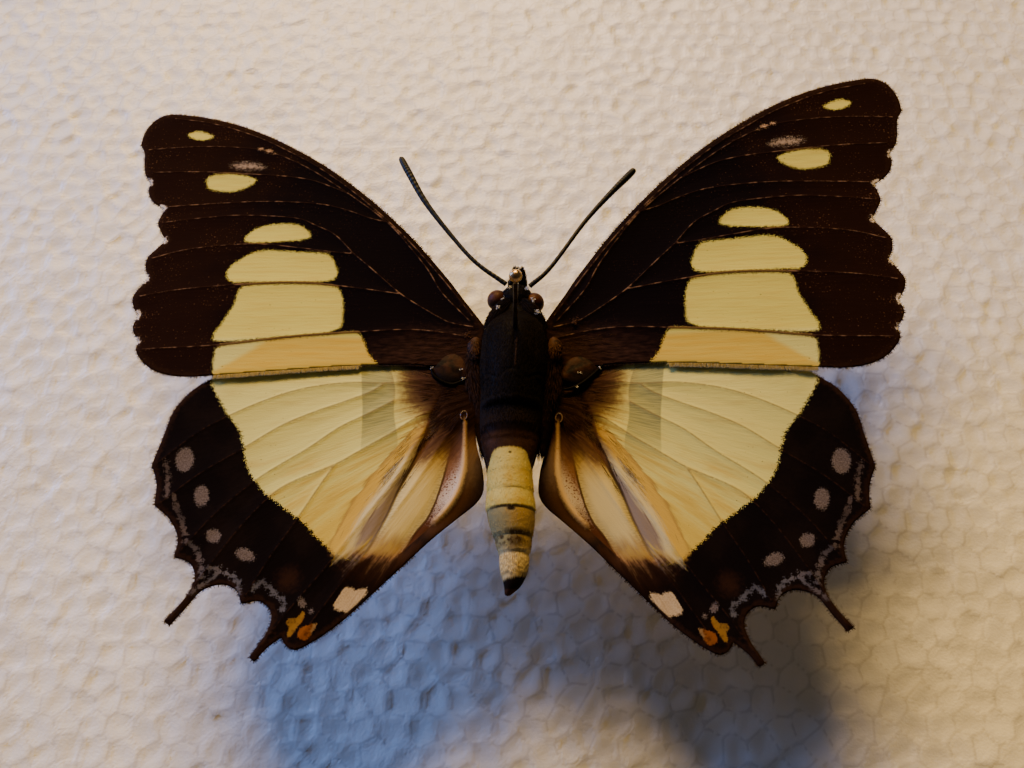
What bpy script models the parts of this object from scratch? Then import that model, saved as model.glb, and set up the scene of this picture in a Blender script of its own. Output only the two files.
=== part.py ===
"""A pinned noble white charaxes butterfly on a slab of white foam, life size, as solids.

Lengths in the constants are millimetres. The row frame is in metres: origin at the middle of
the slab's underside, +X to the right, +Y towards the butterfly's head, +Z up.
"""
import math

import bmesh
import bpy
from mathutils import Vector
from mathutils.geometry import delaunay_2d_cdt

MM = 0.001
GAP = 0.3                     # clearance kept between nodes that meet

# Foam slab and pin
BOARD = (176.0, 124.0, 20.0)
BOARD_EDGE = 1.2
ROOT_HEIGHT = 15.0            # forewing roots above the foam
PIN_R = 0.25
PIN_LENGTH = 38.0
PIN_POINT = 1.6
PIN_BELOW = 8.5               # length of pin in the foam
PIN_HEAD_R = 0.68
PIN_Y = -2.6                  # from the specimen's origin

# The specimen's origin is the front of the forewing roots on the body's middle line
SPECIMEN = (0.0, -11.5, BOARD[2] + ROOT_HEIGHT)

# Body stations along Y: y, half width, underside z, top z
THORAX = (
    (0.10, 2.20, -1.10, 2.20),
    (-0.45, 3.00, -2.10, 3.05),
    (-1.60, 3.50, -2.90, 3.75),
    (-3.60, 3.75, -3.40, 4.20),
    (-5.80, 3.75, -3.60, 4.20),
    (-7.60, 3.60, -3.60, 3.95),
    (-8.60, 3.45, -3.50, 3.80),
    (-10.40, 3.20, -3.30, 3.45),
    (-11.20, 3.10, -3.20, 2.85),
    (-12.80, 2.90, -2.90, 2.50),
    (-14.20, 2.65, -2.60, 2.20),
    (-14.60, 2.50, -2.45, 2.05),
)
BODY_LEAN = 0.045             # sideways drift of the body's axis per millimetre towards the tail
ABDOMEN_RINGS = (
    # front edge y, half width, middle height, middle x
    (-14.90, 2.35, -0.25, -0.60),
    (-17.20, 2.42, -0.25, -0.60),
    (-20.10, 2.50, -0.35, -0.55),
    (-22.10, 2.58, -0.45, -0.46),
    (-24.70, 1.98, -0.60, -0.25),
    (-26.40, 1.58, -0.70, -0.12),
    (-28.30, 1.32, -0.80, -0.16),
    (-29.60, 0.92, -0.85, -0.32),
)
ABDOMEN_TIP = (-30.50, 0.45, -0.95, -0.80)
ABDOMEN_HEIGHT = 0.95         # height over width
RING_GROOVE = 0.05            # depth of the line between two abdomen rings, of the half width

# Head, turned a little about its middle
HEAD_TURN = math.radians(-5.0)
HEAD_PIVOT = (0.05, 2.2)
COLLAR = (
    (0.90, 1.25, -0.90, 1.90),
    (0.75, 1.60, -1.25, 2.20),
    (0.60, 2.30, -1.30, 2.35),
    (0.42, 2.05, -1.10, 2.15),
)
HEAD = (
    (4.10, 0.80, -0.50, 1.60),
    (3.85, 1.35, -0.95, 2.10),
    (3.20, 1.85, -1.30, 2.45),
    (2.30, 2.05, -1.40, 2.60),
    (1.65, 1.85, -1.20, 2.45),
    (1.33, 1.35, -0.90, 2.00),
)
EYE_R = 1.18
EYE_AT = (2.08, 2.3, 0.85)
PALP = (
    # x, y, z, radius
    (0.66, 4.20, -0.20, 0.34),
    (0.66, 4.65, 0.05, 0.46),
    (0.58, 5.15, 0.65, 0.42),
    (0.48, 5.60, 1.20, 0.32),
    (0.42, 5.90, 1.60, 0.22),
)
ANTENNA_LEFT = (
    (-1.05, 3.75, 2.35),
    (-4.36, 6.27, 2.70),
    (-7.05, 9.42, 3.00),
    (-10.44, 14.13, 3.50),
    (-13.52, 20.05, 4.00),
)
ANTENNA_RIGHT = (
    (1.66, 3.58, 2.15),
    (4.03, 5.73, 2.70),
    (8.03, 11.65, 3.00),
    (11.07, 15.28, 3.50),
    (14.02, 18.41, 4.00),
)
ANTENNA_R = 0.25
CLUB_R = 0.36
PROBOSCIS_R = 0.25
COIL_R = 1.1                  # outer radius of the coiled proboscis, and how it closes in one turn
COIL_CLOSE = 0.62
COIL_AT = (0.0, 3.1, -3.05)

# Folded legs: x, y, z, radius along the right one
FORELEG = (
    (0.95, -0.60, -2.72, 0.30),
    (1.25, 0.45, -2.78, 0.32),
    (1.50, 1.25, -3.15, 0.32),
    (1.45, 1.25, -3.85, 0.30),
    (1.15, 0.30, -4.25, 0.28),
    (0.90, -1.60, -4.45, 0.25),
)
MIDLEG = (
    (1.25, -4.20, -3.86, 0.38),
    (3.10, -1.90, -4.80, 0.40),
    (2.60, -5.60, -6.00, 0.30),
    (1.90, -9.20, -6.60, 0.25),
)
HINDLEG = (
    (1.20, -9.40, -3.83, 0.38),
    (3.40, -7.50, -4.60, 0.40),
    (3.10, -12.20, -5.60, 0.30),
    (2.20, -16.40, -6.00, 0.25),
)

# Wings: each is a flat plate in its own plane, u outwards from the body and v towards the head
WING_THICK = 0.5
VEIN_RISE = 0.18
VEIN_HALF = 0.42
CAMBER = 0.3
CAMBER_SPAN = 44.0
POSE = {
    # turn in the plane, raise of the outer side, raise of the front, root x, y, z
    ("fore", 1): (0.15, 4.2, 2.4, 3.5, 0.0, 0.0),
    ("fore", -1): (-0.15, -0.4, -2.6, 3.9, 0.0, 0.0),
    ("hind", 1): (-0.6, 4.0, 2.3, 3.3, -8.0, -1.4),
    ("hind", -1): (0.6, -0.6, -2.6, 4.1, -8.0, -0.8),
}
# Outlines as runs of points. A run is a smooth curve; two runs meet at a corner.
FORE_RUNS = (
    ((-0.5, -0.5), (2.0, 3.1), (4.0, 6.1), (8.0, 11.4), (12.0, 15.9), (16.0, 19.8), (20.0, 23.2),
     (24.0, 26.0), (28.0, 28.4), (32.0, 30.3), (36.0, 31.6), (39.5, 32.3), (41.9, 32.4),
     (43.4, 31.3), (44.2, 29.3), (44.3, 27.3)),
    ((44.3, 27.3), (43.5, 25.8), (43.2, 24.0), (42.7, 22.3), (41.7, 20.9)),
    ((41.7, 20.9), (41.8, 19.6), (41.0, 18.0), (39.2, 16.6)),
    ((39.2, 16.6), (39.6, 14.6), (39.0, 13.2), (38.2, 11.9)),
    ((38.2, 11.9), (39.1, 10.6), (39.9, 9.2), (39.8, 7.8), (39.2, 6.5)),
    ((39.2, 6.5), (39.9, 5.2), (40.5, 3.8), (40.1, 2.3), (39.3, 1.3)),
    ((39.3, 1.3), (39.7, 0.0), (39.4, -1.1), (38.6, -2.1)),
    ((38.6, -2.1), (38.7, -3.3), (37.9, -4.6), (36.3, -5.9), (34.3, -6.6), (32.0, -6.8),
     (29.0, -6.6), (21.0, -6.0), (14.0, -5.5), (8.0, -5.4), (3.5, -5.6), (0.5, -5.4)),
)
HIND_RUNS = (
    ((0.2, 1.8), (2.5, 3.2), (6.0, 4.6), (12.0, 5.6), (18.0, 5.6), (23.0, 4.6), (27.0, 2.9),
     (29.6, 1.2), (31.7, -0.4), (33.2, -2.8), (33.7, -5.5), (34.3, -9.2)),
    ((34.3, -9.2), (33.4, -11.3), (33.1, -13.7)),
    ((33.1, -13.7), (31.2, -15.2), (30.0, -17.2), (30.0, -19.1)),
    ((30.0, -19.1), (28.3, -19.7), (27.5, -21.3), (28.1, -23.2), (29.8, -25.4)),
    ((29.8, -25.4), (29.1, -25.8)),
    ((29.1, -25.8), (28.0, -24.3), (26.6, -22.4), (24.7, -21.8), (23.2, -22.4), (22.5, -23.7)),
    ((22.5, -23.7), (20.8, -23.4), (19.5, -24.5), (19.6, -26.3), (21.0, -28.7)),
    ((21.0, -28.7), (20.4, -29.1)),
    ((20.4, -29.1), (19.5, -27.9), (18.2, -26.8)),
    ((18.2, -26.8), (17.5, -27.7), (16.2, -27.8), (13.0, -25.6), (9.8, -22.5), (4.9, -17.5),
     (1.8, -14.6), (0.0, -12.9), (-0.7, -11.4), (-0.5, -9.0), (0.1, -6.8), (0.4, -4.6)),
)
FORE_VEINS = (
    ((1.0, 0.9), (4.9, 6.4), (8.8, 11.4), (12.8, 15.8), (16.8, 19.6), (20.8, 22.9), (24.7, 25.5),
     (28.6, 27.8), (32.4, 29.5), (36.2, 30.8), (40.5, 31.6)),
    ((1.2, 0.1), (4.5, 3.9), (6.2, 7.0), (8.7, 10.6), (11.6, 14.2), (16.6, 18.6), (22.4, 23.0),
     (27.8, 25.7), (33.0, 26.5), (38.1, 26.6), (43.0, 26.3)),
    ((16.6, 18.6), (20.8, 20.6), (24.2, 21.4), (28.0, 21.8), (35.1, 22.4), (41.8, 22.5)),
    ((11.6, 14.2), (13.9, 14.9), (16.7, 16.1), (20.5, 17.1), (27.1, 17.5), (34.3, 17.2), (38.9, 16.9)),
    ((15.2, 9.5), (17.7, 12.3), (20.1, 13.7), (22.9, 14.9), (29.5, 15.4), (34.0, 15.1), (38.9, 14.5)),
    ((15.2, 9.5), (17.8, 9.8), (21.1, 10.3), (26.4, 11.0), (30.9, 10.9), (35.6, 10.3), (39.2, 9.2)),
    ((0.9, -0.6), (2.9, -0.2), (4.4, 0.4), (7.7, 2.6), (9.3, 3.8), (11.0, 5.4), (13.1, 7.5),
     (15.2, 9.5)),
    ((9.3, 3.8), (14.2, 4.6), (20.6, 5.4), (26.9, 5.3), (34.7, 4.7), (39.7, 3.8)),
    ((1.0, -2.0), (5.3, -1.2), (9.1, -1.0), (13.7, -1.3), (21.4, -1.9), (29.5, -2.9), (38.0, -3.3)),
)
HIND_VEINS = (
    ((1.4, 1.0), (6.5, 3.2), (12.0, 4.3), (18.0, 4.2), (23.0, 3.1), (27.5, 1.2)),
    ((1.2, 0.0), (5.0, 1.1), (10.4, 0.6), (14.5, 0.6), (19.0, -0.1), (22.8, -1.4), (27.0, -3.5),
     (30.2, -5.6), (33.7, -9.0)),
    ((10.4, 0.6), (12.1, -0.6), (14.8, -1.8), (18.0, -3.1), (21.2, -4.7), (24.7, -7.2),
     (29.0, -10.2), (32.5, -13.4)),
    ((9.4, -1.6), (12.4, -3.4), (15.0, -4.9), (18.1, -7.4), (22.6, -10.6), (26.5, -14.4),
     (29.5, -18.5)),
    ((1.2, -1.0), (5.7, -2.9), (9.4, -5.5), (12.0, -7.2), (14.9, -9.1), (18.8, -10.9),
     (21.2, -12.6), (24.0, -16.2), (26.8, -20.9), (29.1, -25.0)),
    ((14.9, -9.1), (16.2, -11.4), (18.2, -15.2), (20.3, -18.9), (22.3, -23.1)),
    ((1.1, -1.9), (4.6, -3.4), (6.5, -6.4), (8.6, -10.8), (11.4, -14.9), (14.4, -19.6),
     (17.4, -23.7), (20.4, -28.1)),
    ((1.2, -2.8), (3.6, -6.0), (6.0, -10.4), (9.3, -15.8), (12.5, -20.8), (16.4, -26.8)),
)
FOLD_LINE = ((1.0, -4.0), (1.7, -8.0), (2.9, -12.0), (5.0, -15.4))
FOLD_DEPTH = 0.5
FOLD_HALF = 1.4

# Lobe over each forewing root: half lengths along X, Y, Z and its place along Y
TEGULA = (0.72, 1.15, 0.50)
TEGULA_Y = -3.6

for ob in list(bpy.data.objects):
    bpy.data.objects.remove(ob, do_unlink=True)


def material(name, colour, rough=0.6, metal=0.0):
    """A plain Principled material."""
    mat = bpy.data.materials.new(name)
    mat.use_nodes = True
    node = mat.node_tree.nodes["Principled BSDF"]
    node.inputs["Base Color"].default_value = (*colour, 1.0)
    node.inputs["Roughness"].default_value = rough
    node.inputs["Metallic"].default_value = metal
    return mat


def world(x, y, z):
    """A point of the specimen's own frame, in metres in the row frame."""
    return Vector((x + SPECIMEN[0], y + SPECIMEN[1], z + SPECIMEN[2])) * MM


def node_from_mesh(name, verts, faces, mat):
    """One closed object from points and faces, its four-sided faces split and its normals outward."""
    mesh = bpy.data.meshes.new(name)
    mesh.from_pydata([tuple(v) for v in verts], [], faces)
    bm = bmesh.new()
    bm.from_mesh(mesh)
    bmesh.ops.triangulate(bm, faces=[f for f in bm.faces if len(f.verts) == 4])
    bmesh.ops.recalc_face_normals(bm, faces=bm.faces)
    if bm.calc_volume(signed=True) < 0:
        bmesh.ops.reverse_faces(bm, faces=bm.faces)
    bm.to_mesh(mesh)
    bm.free()
    mesh.materials.append(mat)
    ob = bpy.data.objects.new(name, mesh)
    bpy.context.collection.objects.link(ob)
    return ob


def apply_modifiers(ob):
    """Bakes an object's modifiers into its mesh."""
    graph = bpy.context.evaluated_depsgraph_get()
    mesh = bpy.data.meshes.new_from_object(ob.evaluated_get(graph))
    old = ob.data
    ob.modifiers.clear()
    ob.data = mesh
    bpy.data.meshes.remove(old)


def cut(ob, cutters):
    """Takes the cutters out of an object and removes them."""
    for cutter in cutters:
        cutter.hide_render = True
        cutter.display_type = "WIRE"
        mod = ob.modifiers.new("cut", "BOOLEAN")
        mod.operation = "DIFFERENCE"
        mod.solver = "EXACT"
        mod.object = cutter
    apply_modifiers(ob)
    for cutter in cutters:
        bpy.data.objects.remove(cutter, do_unlink=True)


def rod(name, x, y, z_low, z_high, radius, sides, mat):
    """An upright cylinder, in row millimetres."""
    bpy.ops.mesh.primitive_cylinder_add(vertices=sides, radius=radius * MM, depth=(z_high - z_low) * MM,
                                        location=(x * MM, y * MM, (z_high + z_low) / 2 * MM))
    ob = bpy.context.active_object
    ob.name = name
    ob.data.materials.append(mat)
    return ob


def ball(name, centre, radius, mat, segments=20, rings=12, stretch=(1, 1, 1)):
    """A sphere or an ellipsoid at a point in metres."""
    bpy.ops.mesh.primitive_uv_sphere_add(segments=segments, ring_count=rings, radius=radius * MM, location=centre)
    ob = bpy.context.active_object
    ob.name = name
    ob.scale = stretch
    bpy.ops.object.transform_apply(location=False, rotation=False, scale=True)
    ob.data.materials.append(mat)
    return ob


def body_x(y):
    """Sideways place of the body's axis at y."""
    return 0.05 + BODY_LEAN * y


def lofted(name, rings, mat):
    """A closed body through rings of points, each end closed by a flat face."""
    count = len(rings[0])
    verts = [p for ring in rings for p in ring]
    faces = [tuple(range(count))]
    for i in range(len(rings) - 1):
        for j in range(count):
            k = (j + 1) % count
            faces.append((i * count + j, i * count + k, (i + 1) * count + k, (i + 1) * count + j))
    faces.append(tuple((len(rings) - 1) * count + j for j in range(count)))
    return node_from_mesh(name, verts, faces, mat)


def oval(x, y, half, low, high, sides, place=world):
    """A ring of points round an upright oval across the body at y."""
    mid = (high + low) / 2
    tall = (high - low) / 2
    ring = []
    for j in range(sides):
        a = 2 * math.pi * j / sides
        ring.append(place(x + half * math.cos(a), y, mid + tall * math.sin(a)))
    return ring


def head_place(x, y, z):
    """A point of the head before its turn, as a row point."""
    dx = x - HEAD_PIVOT[0]
    dy = y - HEAD_PIVOT[1]
    c = math.cos(HEAD_TURN)
    s = math.sin(HEAD_TURN)
    return world(HEAD_PIVOT[0] + c * dx - s * dy, HEAD_PIVOT[1] + s * dx + c * dy, z)


def catmull(points, parts):
    """Points along a smooth curve through the given ones."""
    ends = [tuple(2 * a - b for a, b in zip(points[0], points[1]))]
    ends += [tuple(p) for p in points]
    ends.append(tuple(2 * a - b for a, b in zip(points[-1], points[-2])))
    path = []
    for i in range(1, len(ends) - 2):
        for k in range(parts):
            t = k / parts
            path.append(tuple(0.5 * (2 * b + (c - a) * t + (2 * a - 5 * b + 4 * c - d) * t * t
                                     + (3 * b - a - 3 * c + d) * t ** 3)
                              for a, b, c, d in zip(*ends[i - 1:i + 3])))
    path.append(tuple(points[-1]))
    return path


def tube(name, points, mat, parts=4, nose=0.0):
    """A closed tube along a smooth curve; each point is x, y, z in row metres and a radius in mm.

    A nose is the length in mm of a blunt end past the last point.
    """
    path = catmull(points, parts)
    if nose:
        end, before = Vector(path[-1][:3]), Vector(path[-2][:3])
        path.append((*(end + (end - before).normalized() * nose * MM), path[-1][3] * 0.55))
    curve = bpy.data.curves.new(name, "CURVE")
    curve.dimensions = "3D"
    curve.bevel_depth = MM
    curve.bevel_resolution = 2
    curve.use_fill_caps = True
    spline = curve.splines.new("POLY")
    spline.points.add(len(path) - 1)
    for point, (x, y, z, radius) in zip(spline.points, path):
        point.co = (x, y, z, 1.0)
        point.radius = radius
    guide = bpy.data.objects.new(name + "_line", curve)
    bpy.context.collection.objects.link(guide)
    bpy.context.view_layer.update()
    graph = bpy.context.evaluated_depsgraph_get()
    mesh = bpy.data.meshes.new_from_object(guide.evaluated_get(graph))
    bpy.data.objects.remove(guide, do_unlink=True)
    bm = bmesh.new()
    bm.from_mesh(mesh)
    bmesh.ops.remove_doubles(bm, verts=bm.verts, dist=1e-6)
    verts = [tuple(v.co) for v in bm.verts]
    faces = [tuple(v.index for v in f.verts) for f in bm.faces]
    bm.free()
    bpy.data.meshes.remove(mesh)
    return node_from_mesh(name, verts, faces, mat)


def half_width_at(y, z):
    """Half width of the thorax at y and height z."""
    rows = sorted(THORAX)
    y = min(max(y, rows[0][0]), rows[-1][0])
    for a, b in zip(rows, rows[1:]):
        if a[0] <= y <= b[0]:
            t = (y - a[0]) / (b[0] - a[0])
            half, low, high = (p + (q - p) * t for p, q in zip(a[1:], b[1:]))
            rel = (z - (high + low) / 2) / ((high - low) / 2)
            return half * math.sqrt(max(0.0, 1 - rel * rel))
    return rows[-1][1]


def wing_frame(kind, side):
    """Root point and the three unit directions of a wing's plane, in specimen millimetres."""
    turn, outer, front, x, y, z = POSE[kind, side]
    a, d, r = (math.radians(v) for v in (turn, outer, front))

    def turned(u, v, w):
        u, v = u * math.cos(a) - v * math.sin(a), u * math.sin(a) + v * math.cos(a)
        v, w = v * math.cos(r) - w * math.sin(r), v * math.sin(r) + w * math.cos(r)
        u, w = u * math.cos(d) - w * math.sin(d), u * math.sin(d) + w * math.cos(d)
        return Vector((side * u, v, w))

    return Vector((side * x, y, z)), turned(1, 0, 0), turned(0, 1, 0), turned(0, 0, 1)


def near_line(u, v, line):
    """Distance from a point to a line of straight pieces."""
    best = 1e9
    for (a, b), (c, d) in zip(line, line[1:]):
        t = ((u - a) * (c - a) + (v - b) * (d - b)) / max((c - a) ** 2 + (d - b) ** 2, 1e-9)
        t = min(max(t, 0.0), 1.0)
        best = min(best, math.hypot(u - a - t * (c - a), v - b - t * (d - b)))
    return best


def inside(u, v, loop):
    """True where a point is inside a closed outline."""
    hit = False
    for (a, b), (c, d) in zip(loop, loop[1:] + loop[:1]):
        if (b > v) != (d > v) and u < a + (v - b) / (d - b) * (c - a):
            hit = not hit
    return hit


def wing_outline(kind, side, runs):
    """The outline with its root edge set against the thorax."""
    loop = []
    for run in runs:
        loop += catmull(run, 2)[:-1]
    loop.append(tuple(runs[-1][-1]))
    root, along, fore, up = wing_frame(kind, side)
    v_top = loop[0][1]
    v_low = loop[-1][1]

    def root_u(v):
        y = root.y + v
        z = root.z + v * fore.z
        near = [(y + dy, z + dz) for dy in (-0.4, 0.0, 0.4) for dz in (-0.3, 0.0, 0.3)]
        return max(side * body_x(y) + half_width_at(y, z) for y, z in near) + GAP - side * root.x

    steps = 6
    edge = []
    for k in range(steps + 1):
        v = v_low + (v_top - v_low) * k / steps
        edge.append((root_u(v), v))
    return loop[1:-1] + edge


def wing(name, kind, side, runs, veins, mat):
    """A thin wing with its veins raised on both faces, its two faces split into triangles alike."""
    loop = wing_outline(kind, side, runs)
    lines = [catmull(v, 1 if len(v) > 6 else 2) for v in veins]
    points = list(loop)
    edges = [(i, (i + 1) % len(loop)) for i in range(len(loop))]
    for line in lines:
        for shift in (-VEIN_HALF, 0.0, VEIN_HALF):
            start = len(points)
            row = []
            for i, p in enumerate(line):
                q = line[max(i - 1, 0)]
                r = line[min(i + 1, len(line) - 1)]
                length = math.hypot(r[0] - q[0], r[1] - q[1])
                u = p[0] - (r[1] - q[1]) / length * shift
                v = p[1] + (r[0] - q[0]) / length * shift
                if inside(u, v, loop) and near_line(u, v, loop + loop[:1]) > 0.12:
                    row.append((u, v))
            points += row
            edges += [(start + i, start + i + 1) for i in range(len(row) - 1)]
    step = 3.4
    u_low = min(p[0] for p in loop)
    v_low = min(p[1] for p in loop)
    for i in range(16):
        for j in range(16):
            u = u_low + step * (i + 0.5 * (j % 2))
            v = v_low + step * 0.87 * j
            if inside(u, v, loop) and near_line(u, v, loop + loop[:1]) > 1.0:
                if min(near_line(u, v, line) for line in lines) > 1.1:
                    points.append((u, v))
    flat, _, tris, _, _, _ = delaunay_2d_cdt([Vector(p) for p in points], edges, [], 1, 1e-4)
    flat = [(p[0], p[1]) for p in flat]
    root, along, fore, up = wing_frame(kind, side)
    count = len(flat)
    verts = []
    for face in (1, -1):
        for u, v in flat:
            near = min(near_line(u, v, line) for line in lines)
            rise = VEIN_RISE * max(0.0, 1 - near / VEIN_HALF)
            mid = CAMBER * math.sin(math.pi * min(max(u, 0.0), CAMBER_SPAN) / CAMBER_SPAN)
            if kind == "hind":
                mid -= FOLD_DEPTH * math.exp(-(near_line(u, v, FOLD_LINE) / FOLD_HALF) ** 2)
            w = mid + face * (WING_THICK / 2 + rise)
            p = root + along * u + fore * v + up * w
            verts.append(world(*p))
    faces = []
    used = {}
    for tri in tris:
        tri = tuple(tri)
        faces.append(tri)
        faces.append(tuple(count + i for i in reversed(tri)))
        for i in range(3):
            pair = (tri[i], tri[(i + 1) % 3])
            used[frozenset(pair)] = used.get(frozenset(pair), []) + [pair]
    for pairs in used.values():
        if len(pairs) == 1:
            a, b = pairs[0]
            faces.append((b, a, count + a, count + b))
    return node_from_mesh(name, verts, faces, mat)


FOAM = material("foam_white", (0.86, 0.85, 0.80), 0.8)
STEEL = material("pin_steel", (0.10, 0.09, 0.09), 0.35, 1.0)
BRASS = material("pin_brass", (0.72, 0.52, 0.22), 0.3, 1.0)
BLACK = material("body_black", (0.02, 0.016, 0.014), 0.6)
CREAM = material("abdomen_cream", (0.78, 0.70, 0.42), 0.7)
EYE = material("eye_brown", (0.16, 0.05, 0.02), 0.25)
WING = material("wing_brown", (0.06, 0.04, 0.03), 0.6)
HIND = material("wing_cream", (0.80, 0.74, 0.48), 0.6)
LEG = material("leg_brown", (0.10, 0.06, 0.04), 0.5)
LOBE = material("tegula_brown", (0.22, 0.12, 0.06), 0.4)

# Foam slab with the blind hole of the pin
bpy.ops.mesh.primitive_cube_add(size=1, location=(0, 0, BOARD[2] / 2 * MM))
board = bpy.context.active_object
board.name = "foam_board"
board.scale = tuple(v * MM for v in BOARD)
bpy.ops.object.transform_apply(location=False, rotation=False, scale=True)
board.data.materials.append(FOAM)
edge = board.modifiers.new("edge", "BEVEL")
edge.width = BOARD_EDGE * MM
edge.segments = 2
apply_modifiers(board)
pin_x = SPECIMEN[0]
pin_y = SPECIMEN[1] + PIN_Y
pin_low = BOARD[2] - PIN_BELOW
cut(board, [rod("cut_board", pin_x, pin_y, pin_low - GAP, BOARD[2] + 2, PIN_R + GAP, 16, FOAM)])

# Pin: shaft with a point, and a ball head
pin_high = pin_low + PIN_LENGTH - 2 * PIN_HEAD_R
shaft = []
for z, r in ((pin_low, 0.06), (pin_low + PIN_POINT, PIN_R), (pin_high, PIN_R)):
    shaft.append([Vector((pin_x + r * math.cos(a), pin_y + r * math.sin(a), z)) * MM
                  for a in (2 * math.pi * j / 12 for j in range(12))])
lofted("pin_shaft", shaft, STEEL)
ball("pin_head", Vector((pin_x, pin_y, pin_high + GAP + PIN_HEAD_R)) * MM, PIN_HEAD_R, BRASS, 16, 10)

# Thorax, bored for the pin
rings = [oval(body_x(y), y, half, low, high, 28) for y, half, low, high in THORAX]
thorax = lofted("thorax", rings, BLACK)
cut(thorax, [rod("cut_thorax", pin_x, pin_y, SPECIMEN[2] - 8, SPECIMEN[2] + 8, PIN_R + GAP, 12, BLACK)])

# Abdomen, one ring after another with a shallow line between them
rings = []
stations = list(ABDOMEN_RINGS) + [ABDOMEN_TIP]
for i, (first, last) in enumerate(zip(stations, stations[1:])):
    for t, shrink in ((0.0, RING_GROOVE if i else 0.0), (0.12, 0.0), (0.5, -0.012), (0.88, 0.0)):
        y, half, mid, x = (a + (b - a) * t for a, b in zip(first, last))
        half *= 1 - shrink
        rings.append(oval(x, y, half, mid - half * ABDOMEN_HEIGHT, mid + half * ABDOMEN_HEIGHT, 20))
y, half, mid, x = ABDOMEN_TIP
rings.append(oval(x, y, half * 0.6, mid - half * 0.5, mid + half * 0.5, 20))
lofted("abdomen", rings, CREAM)

# Collar between head and thorax, and the head with a socket for each eye
lofted("prothorax", [oval(body_x(y), y, half, low, high, 20) for y, half, low, high in COLLAR], BLACK)
head = lofted("head", [oval(HEAD_PIVOT[0], y, half, low, high, 24, head_place) for y, half, low, high in HEAD], BLACK)
sockets = []
for side in (-1, 1):
    place = head_place(HEAD_PIVOT[0] + side * EYE_AT[0], EYE_AT[1], EYE_AT[2])
    sockets.append(ball("socket", place, EYE_R + GAP, BLACK, 16, 10, (1.0, 1.0, 1.05)))
cut(head, sockets)
for side, word in ((-1, "left"), (1, "right")):
    place = head_place(HEAD_PIVOT[0] + side * EYE_AT[0], EYE_AT[1], EYE_AT[2])
    ball("eye_" + word, place, EYE_R, EYE, 18, 12, (1.0, 1.0, 1.05))
    palp = [(*head_place(HEAD_PIVOT[0] + side * x, y + GAP, z), r) for x, y, z, r in PALP]
    tube("palp_" + word, palp, BLACK, 3)

# Antennae: a thin shaft and a slow club
for word, line in (("left", ANTENNA_LEFT), ("right", ANTENNA_RIGHT)):
    radii = (ANTENNA_R, ANTENNA_R, ANTENNA_R, (ANTENNA_R + CLUB_R) / 2, CLUB_R)
    points = [(*world(*p), r) for p, r in zip(line, radii)]
    tube("antenna_" + word, points, BLACK, 4, 0.35)

# Coiled proboscis under the head
coil = []
for k in range(13):
    a = 2 * math.pi * 1.1 * k / 12
    r = COIL_R * (1 - COIL_CLOSE * k / 12)
    x, y, z = COIL_AT
    coil.append((*head_place(HEAD_PIVOT[0] + x, y - r * math.sin(a), z + r * math.cos(a)), PROBOSCIS_R))
tube("proboscis", coil, LEG, 1)

# Legs folded under the thorax
for side, word in ((-1, "left"), (1, "right")):
    for name, line in (("foreleg_", FORELEG), ("midleg_", MIDLEG), ("hindleg_", HINDLEG)):
        tube(name + word, [(*world(body_x(y) + side * x, y, z), r) for x, y, z, r in line], LEG, 4)

# Wings and the lobes over the forewing roots
for side, word in ((-1, "left"), (1, "right")):
    wing("forewing_" + word, "fore", side, FORE_RUNS, FORE_VEINS, WING)
    wing("hindwing_" + word, "hind", side, HIND_RUNS, HIND_VEINS, HIND)
    root, along, fore, up = wing_frame("fore", side)
    x = body_x(TEGULA_Y) + side * (half_width_at(TEGULA_Y, 1.2) + GAP + TEGULA[0])
    z = (root + along * (side * x - side * root.x) + fore * TEGULA_Y).z + WING_THICK / 2 + GAP + TEGULA[2]
    ball("tegula_" + word, world(x, TEGULA_Y, z), 1.0, LOBE, 14, 8, TEGULA)
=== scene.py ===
"""Looks of a pinned noble white charaxes on its foam board.

Lengths in the tables are millimetres of the specimen's own frame: x to its right,
y towards its head and z up from the plane of the forewing roots.
"""

import math

import bpy
import numpy as np
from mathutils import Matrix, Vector

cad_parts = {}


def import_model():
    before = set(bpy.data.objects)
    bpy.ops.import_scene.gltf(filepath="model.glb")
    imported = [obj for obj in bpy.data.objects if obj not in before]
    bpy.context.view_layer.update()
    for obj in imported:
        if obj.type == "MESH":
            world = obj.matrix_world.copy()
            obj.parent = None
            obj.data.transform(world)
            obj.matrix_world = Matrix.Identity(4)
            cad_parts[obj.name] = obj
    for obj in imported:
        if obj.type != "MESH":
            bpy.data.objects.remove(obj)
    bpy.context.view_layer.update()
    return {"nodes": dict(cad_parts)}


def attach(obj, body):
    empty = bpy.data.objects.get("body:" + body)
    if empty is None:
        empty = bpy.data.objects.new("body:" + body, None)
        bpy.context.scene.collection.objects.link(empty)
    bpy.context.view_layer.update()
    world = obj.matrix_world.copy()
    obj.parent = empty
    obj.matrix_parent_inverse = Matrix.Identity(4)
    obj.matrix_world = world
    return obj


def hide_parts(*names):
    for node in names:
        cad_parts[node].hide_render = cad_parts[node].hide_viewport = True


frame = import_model()

MM = 0.001
TAU = 2 * math.pi
SIDES = ((-1, "left"), (1, "right"))
SPECIMEN = np.array((0.0, -11.5, 35.0))    # its frame's origin, on the board's own frame
BOARD = (176.0, 124.0, 20.0)
PIN_Y = -2.6                               # where the pin goes through the specimen

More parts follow.
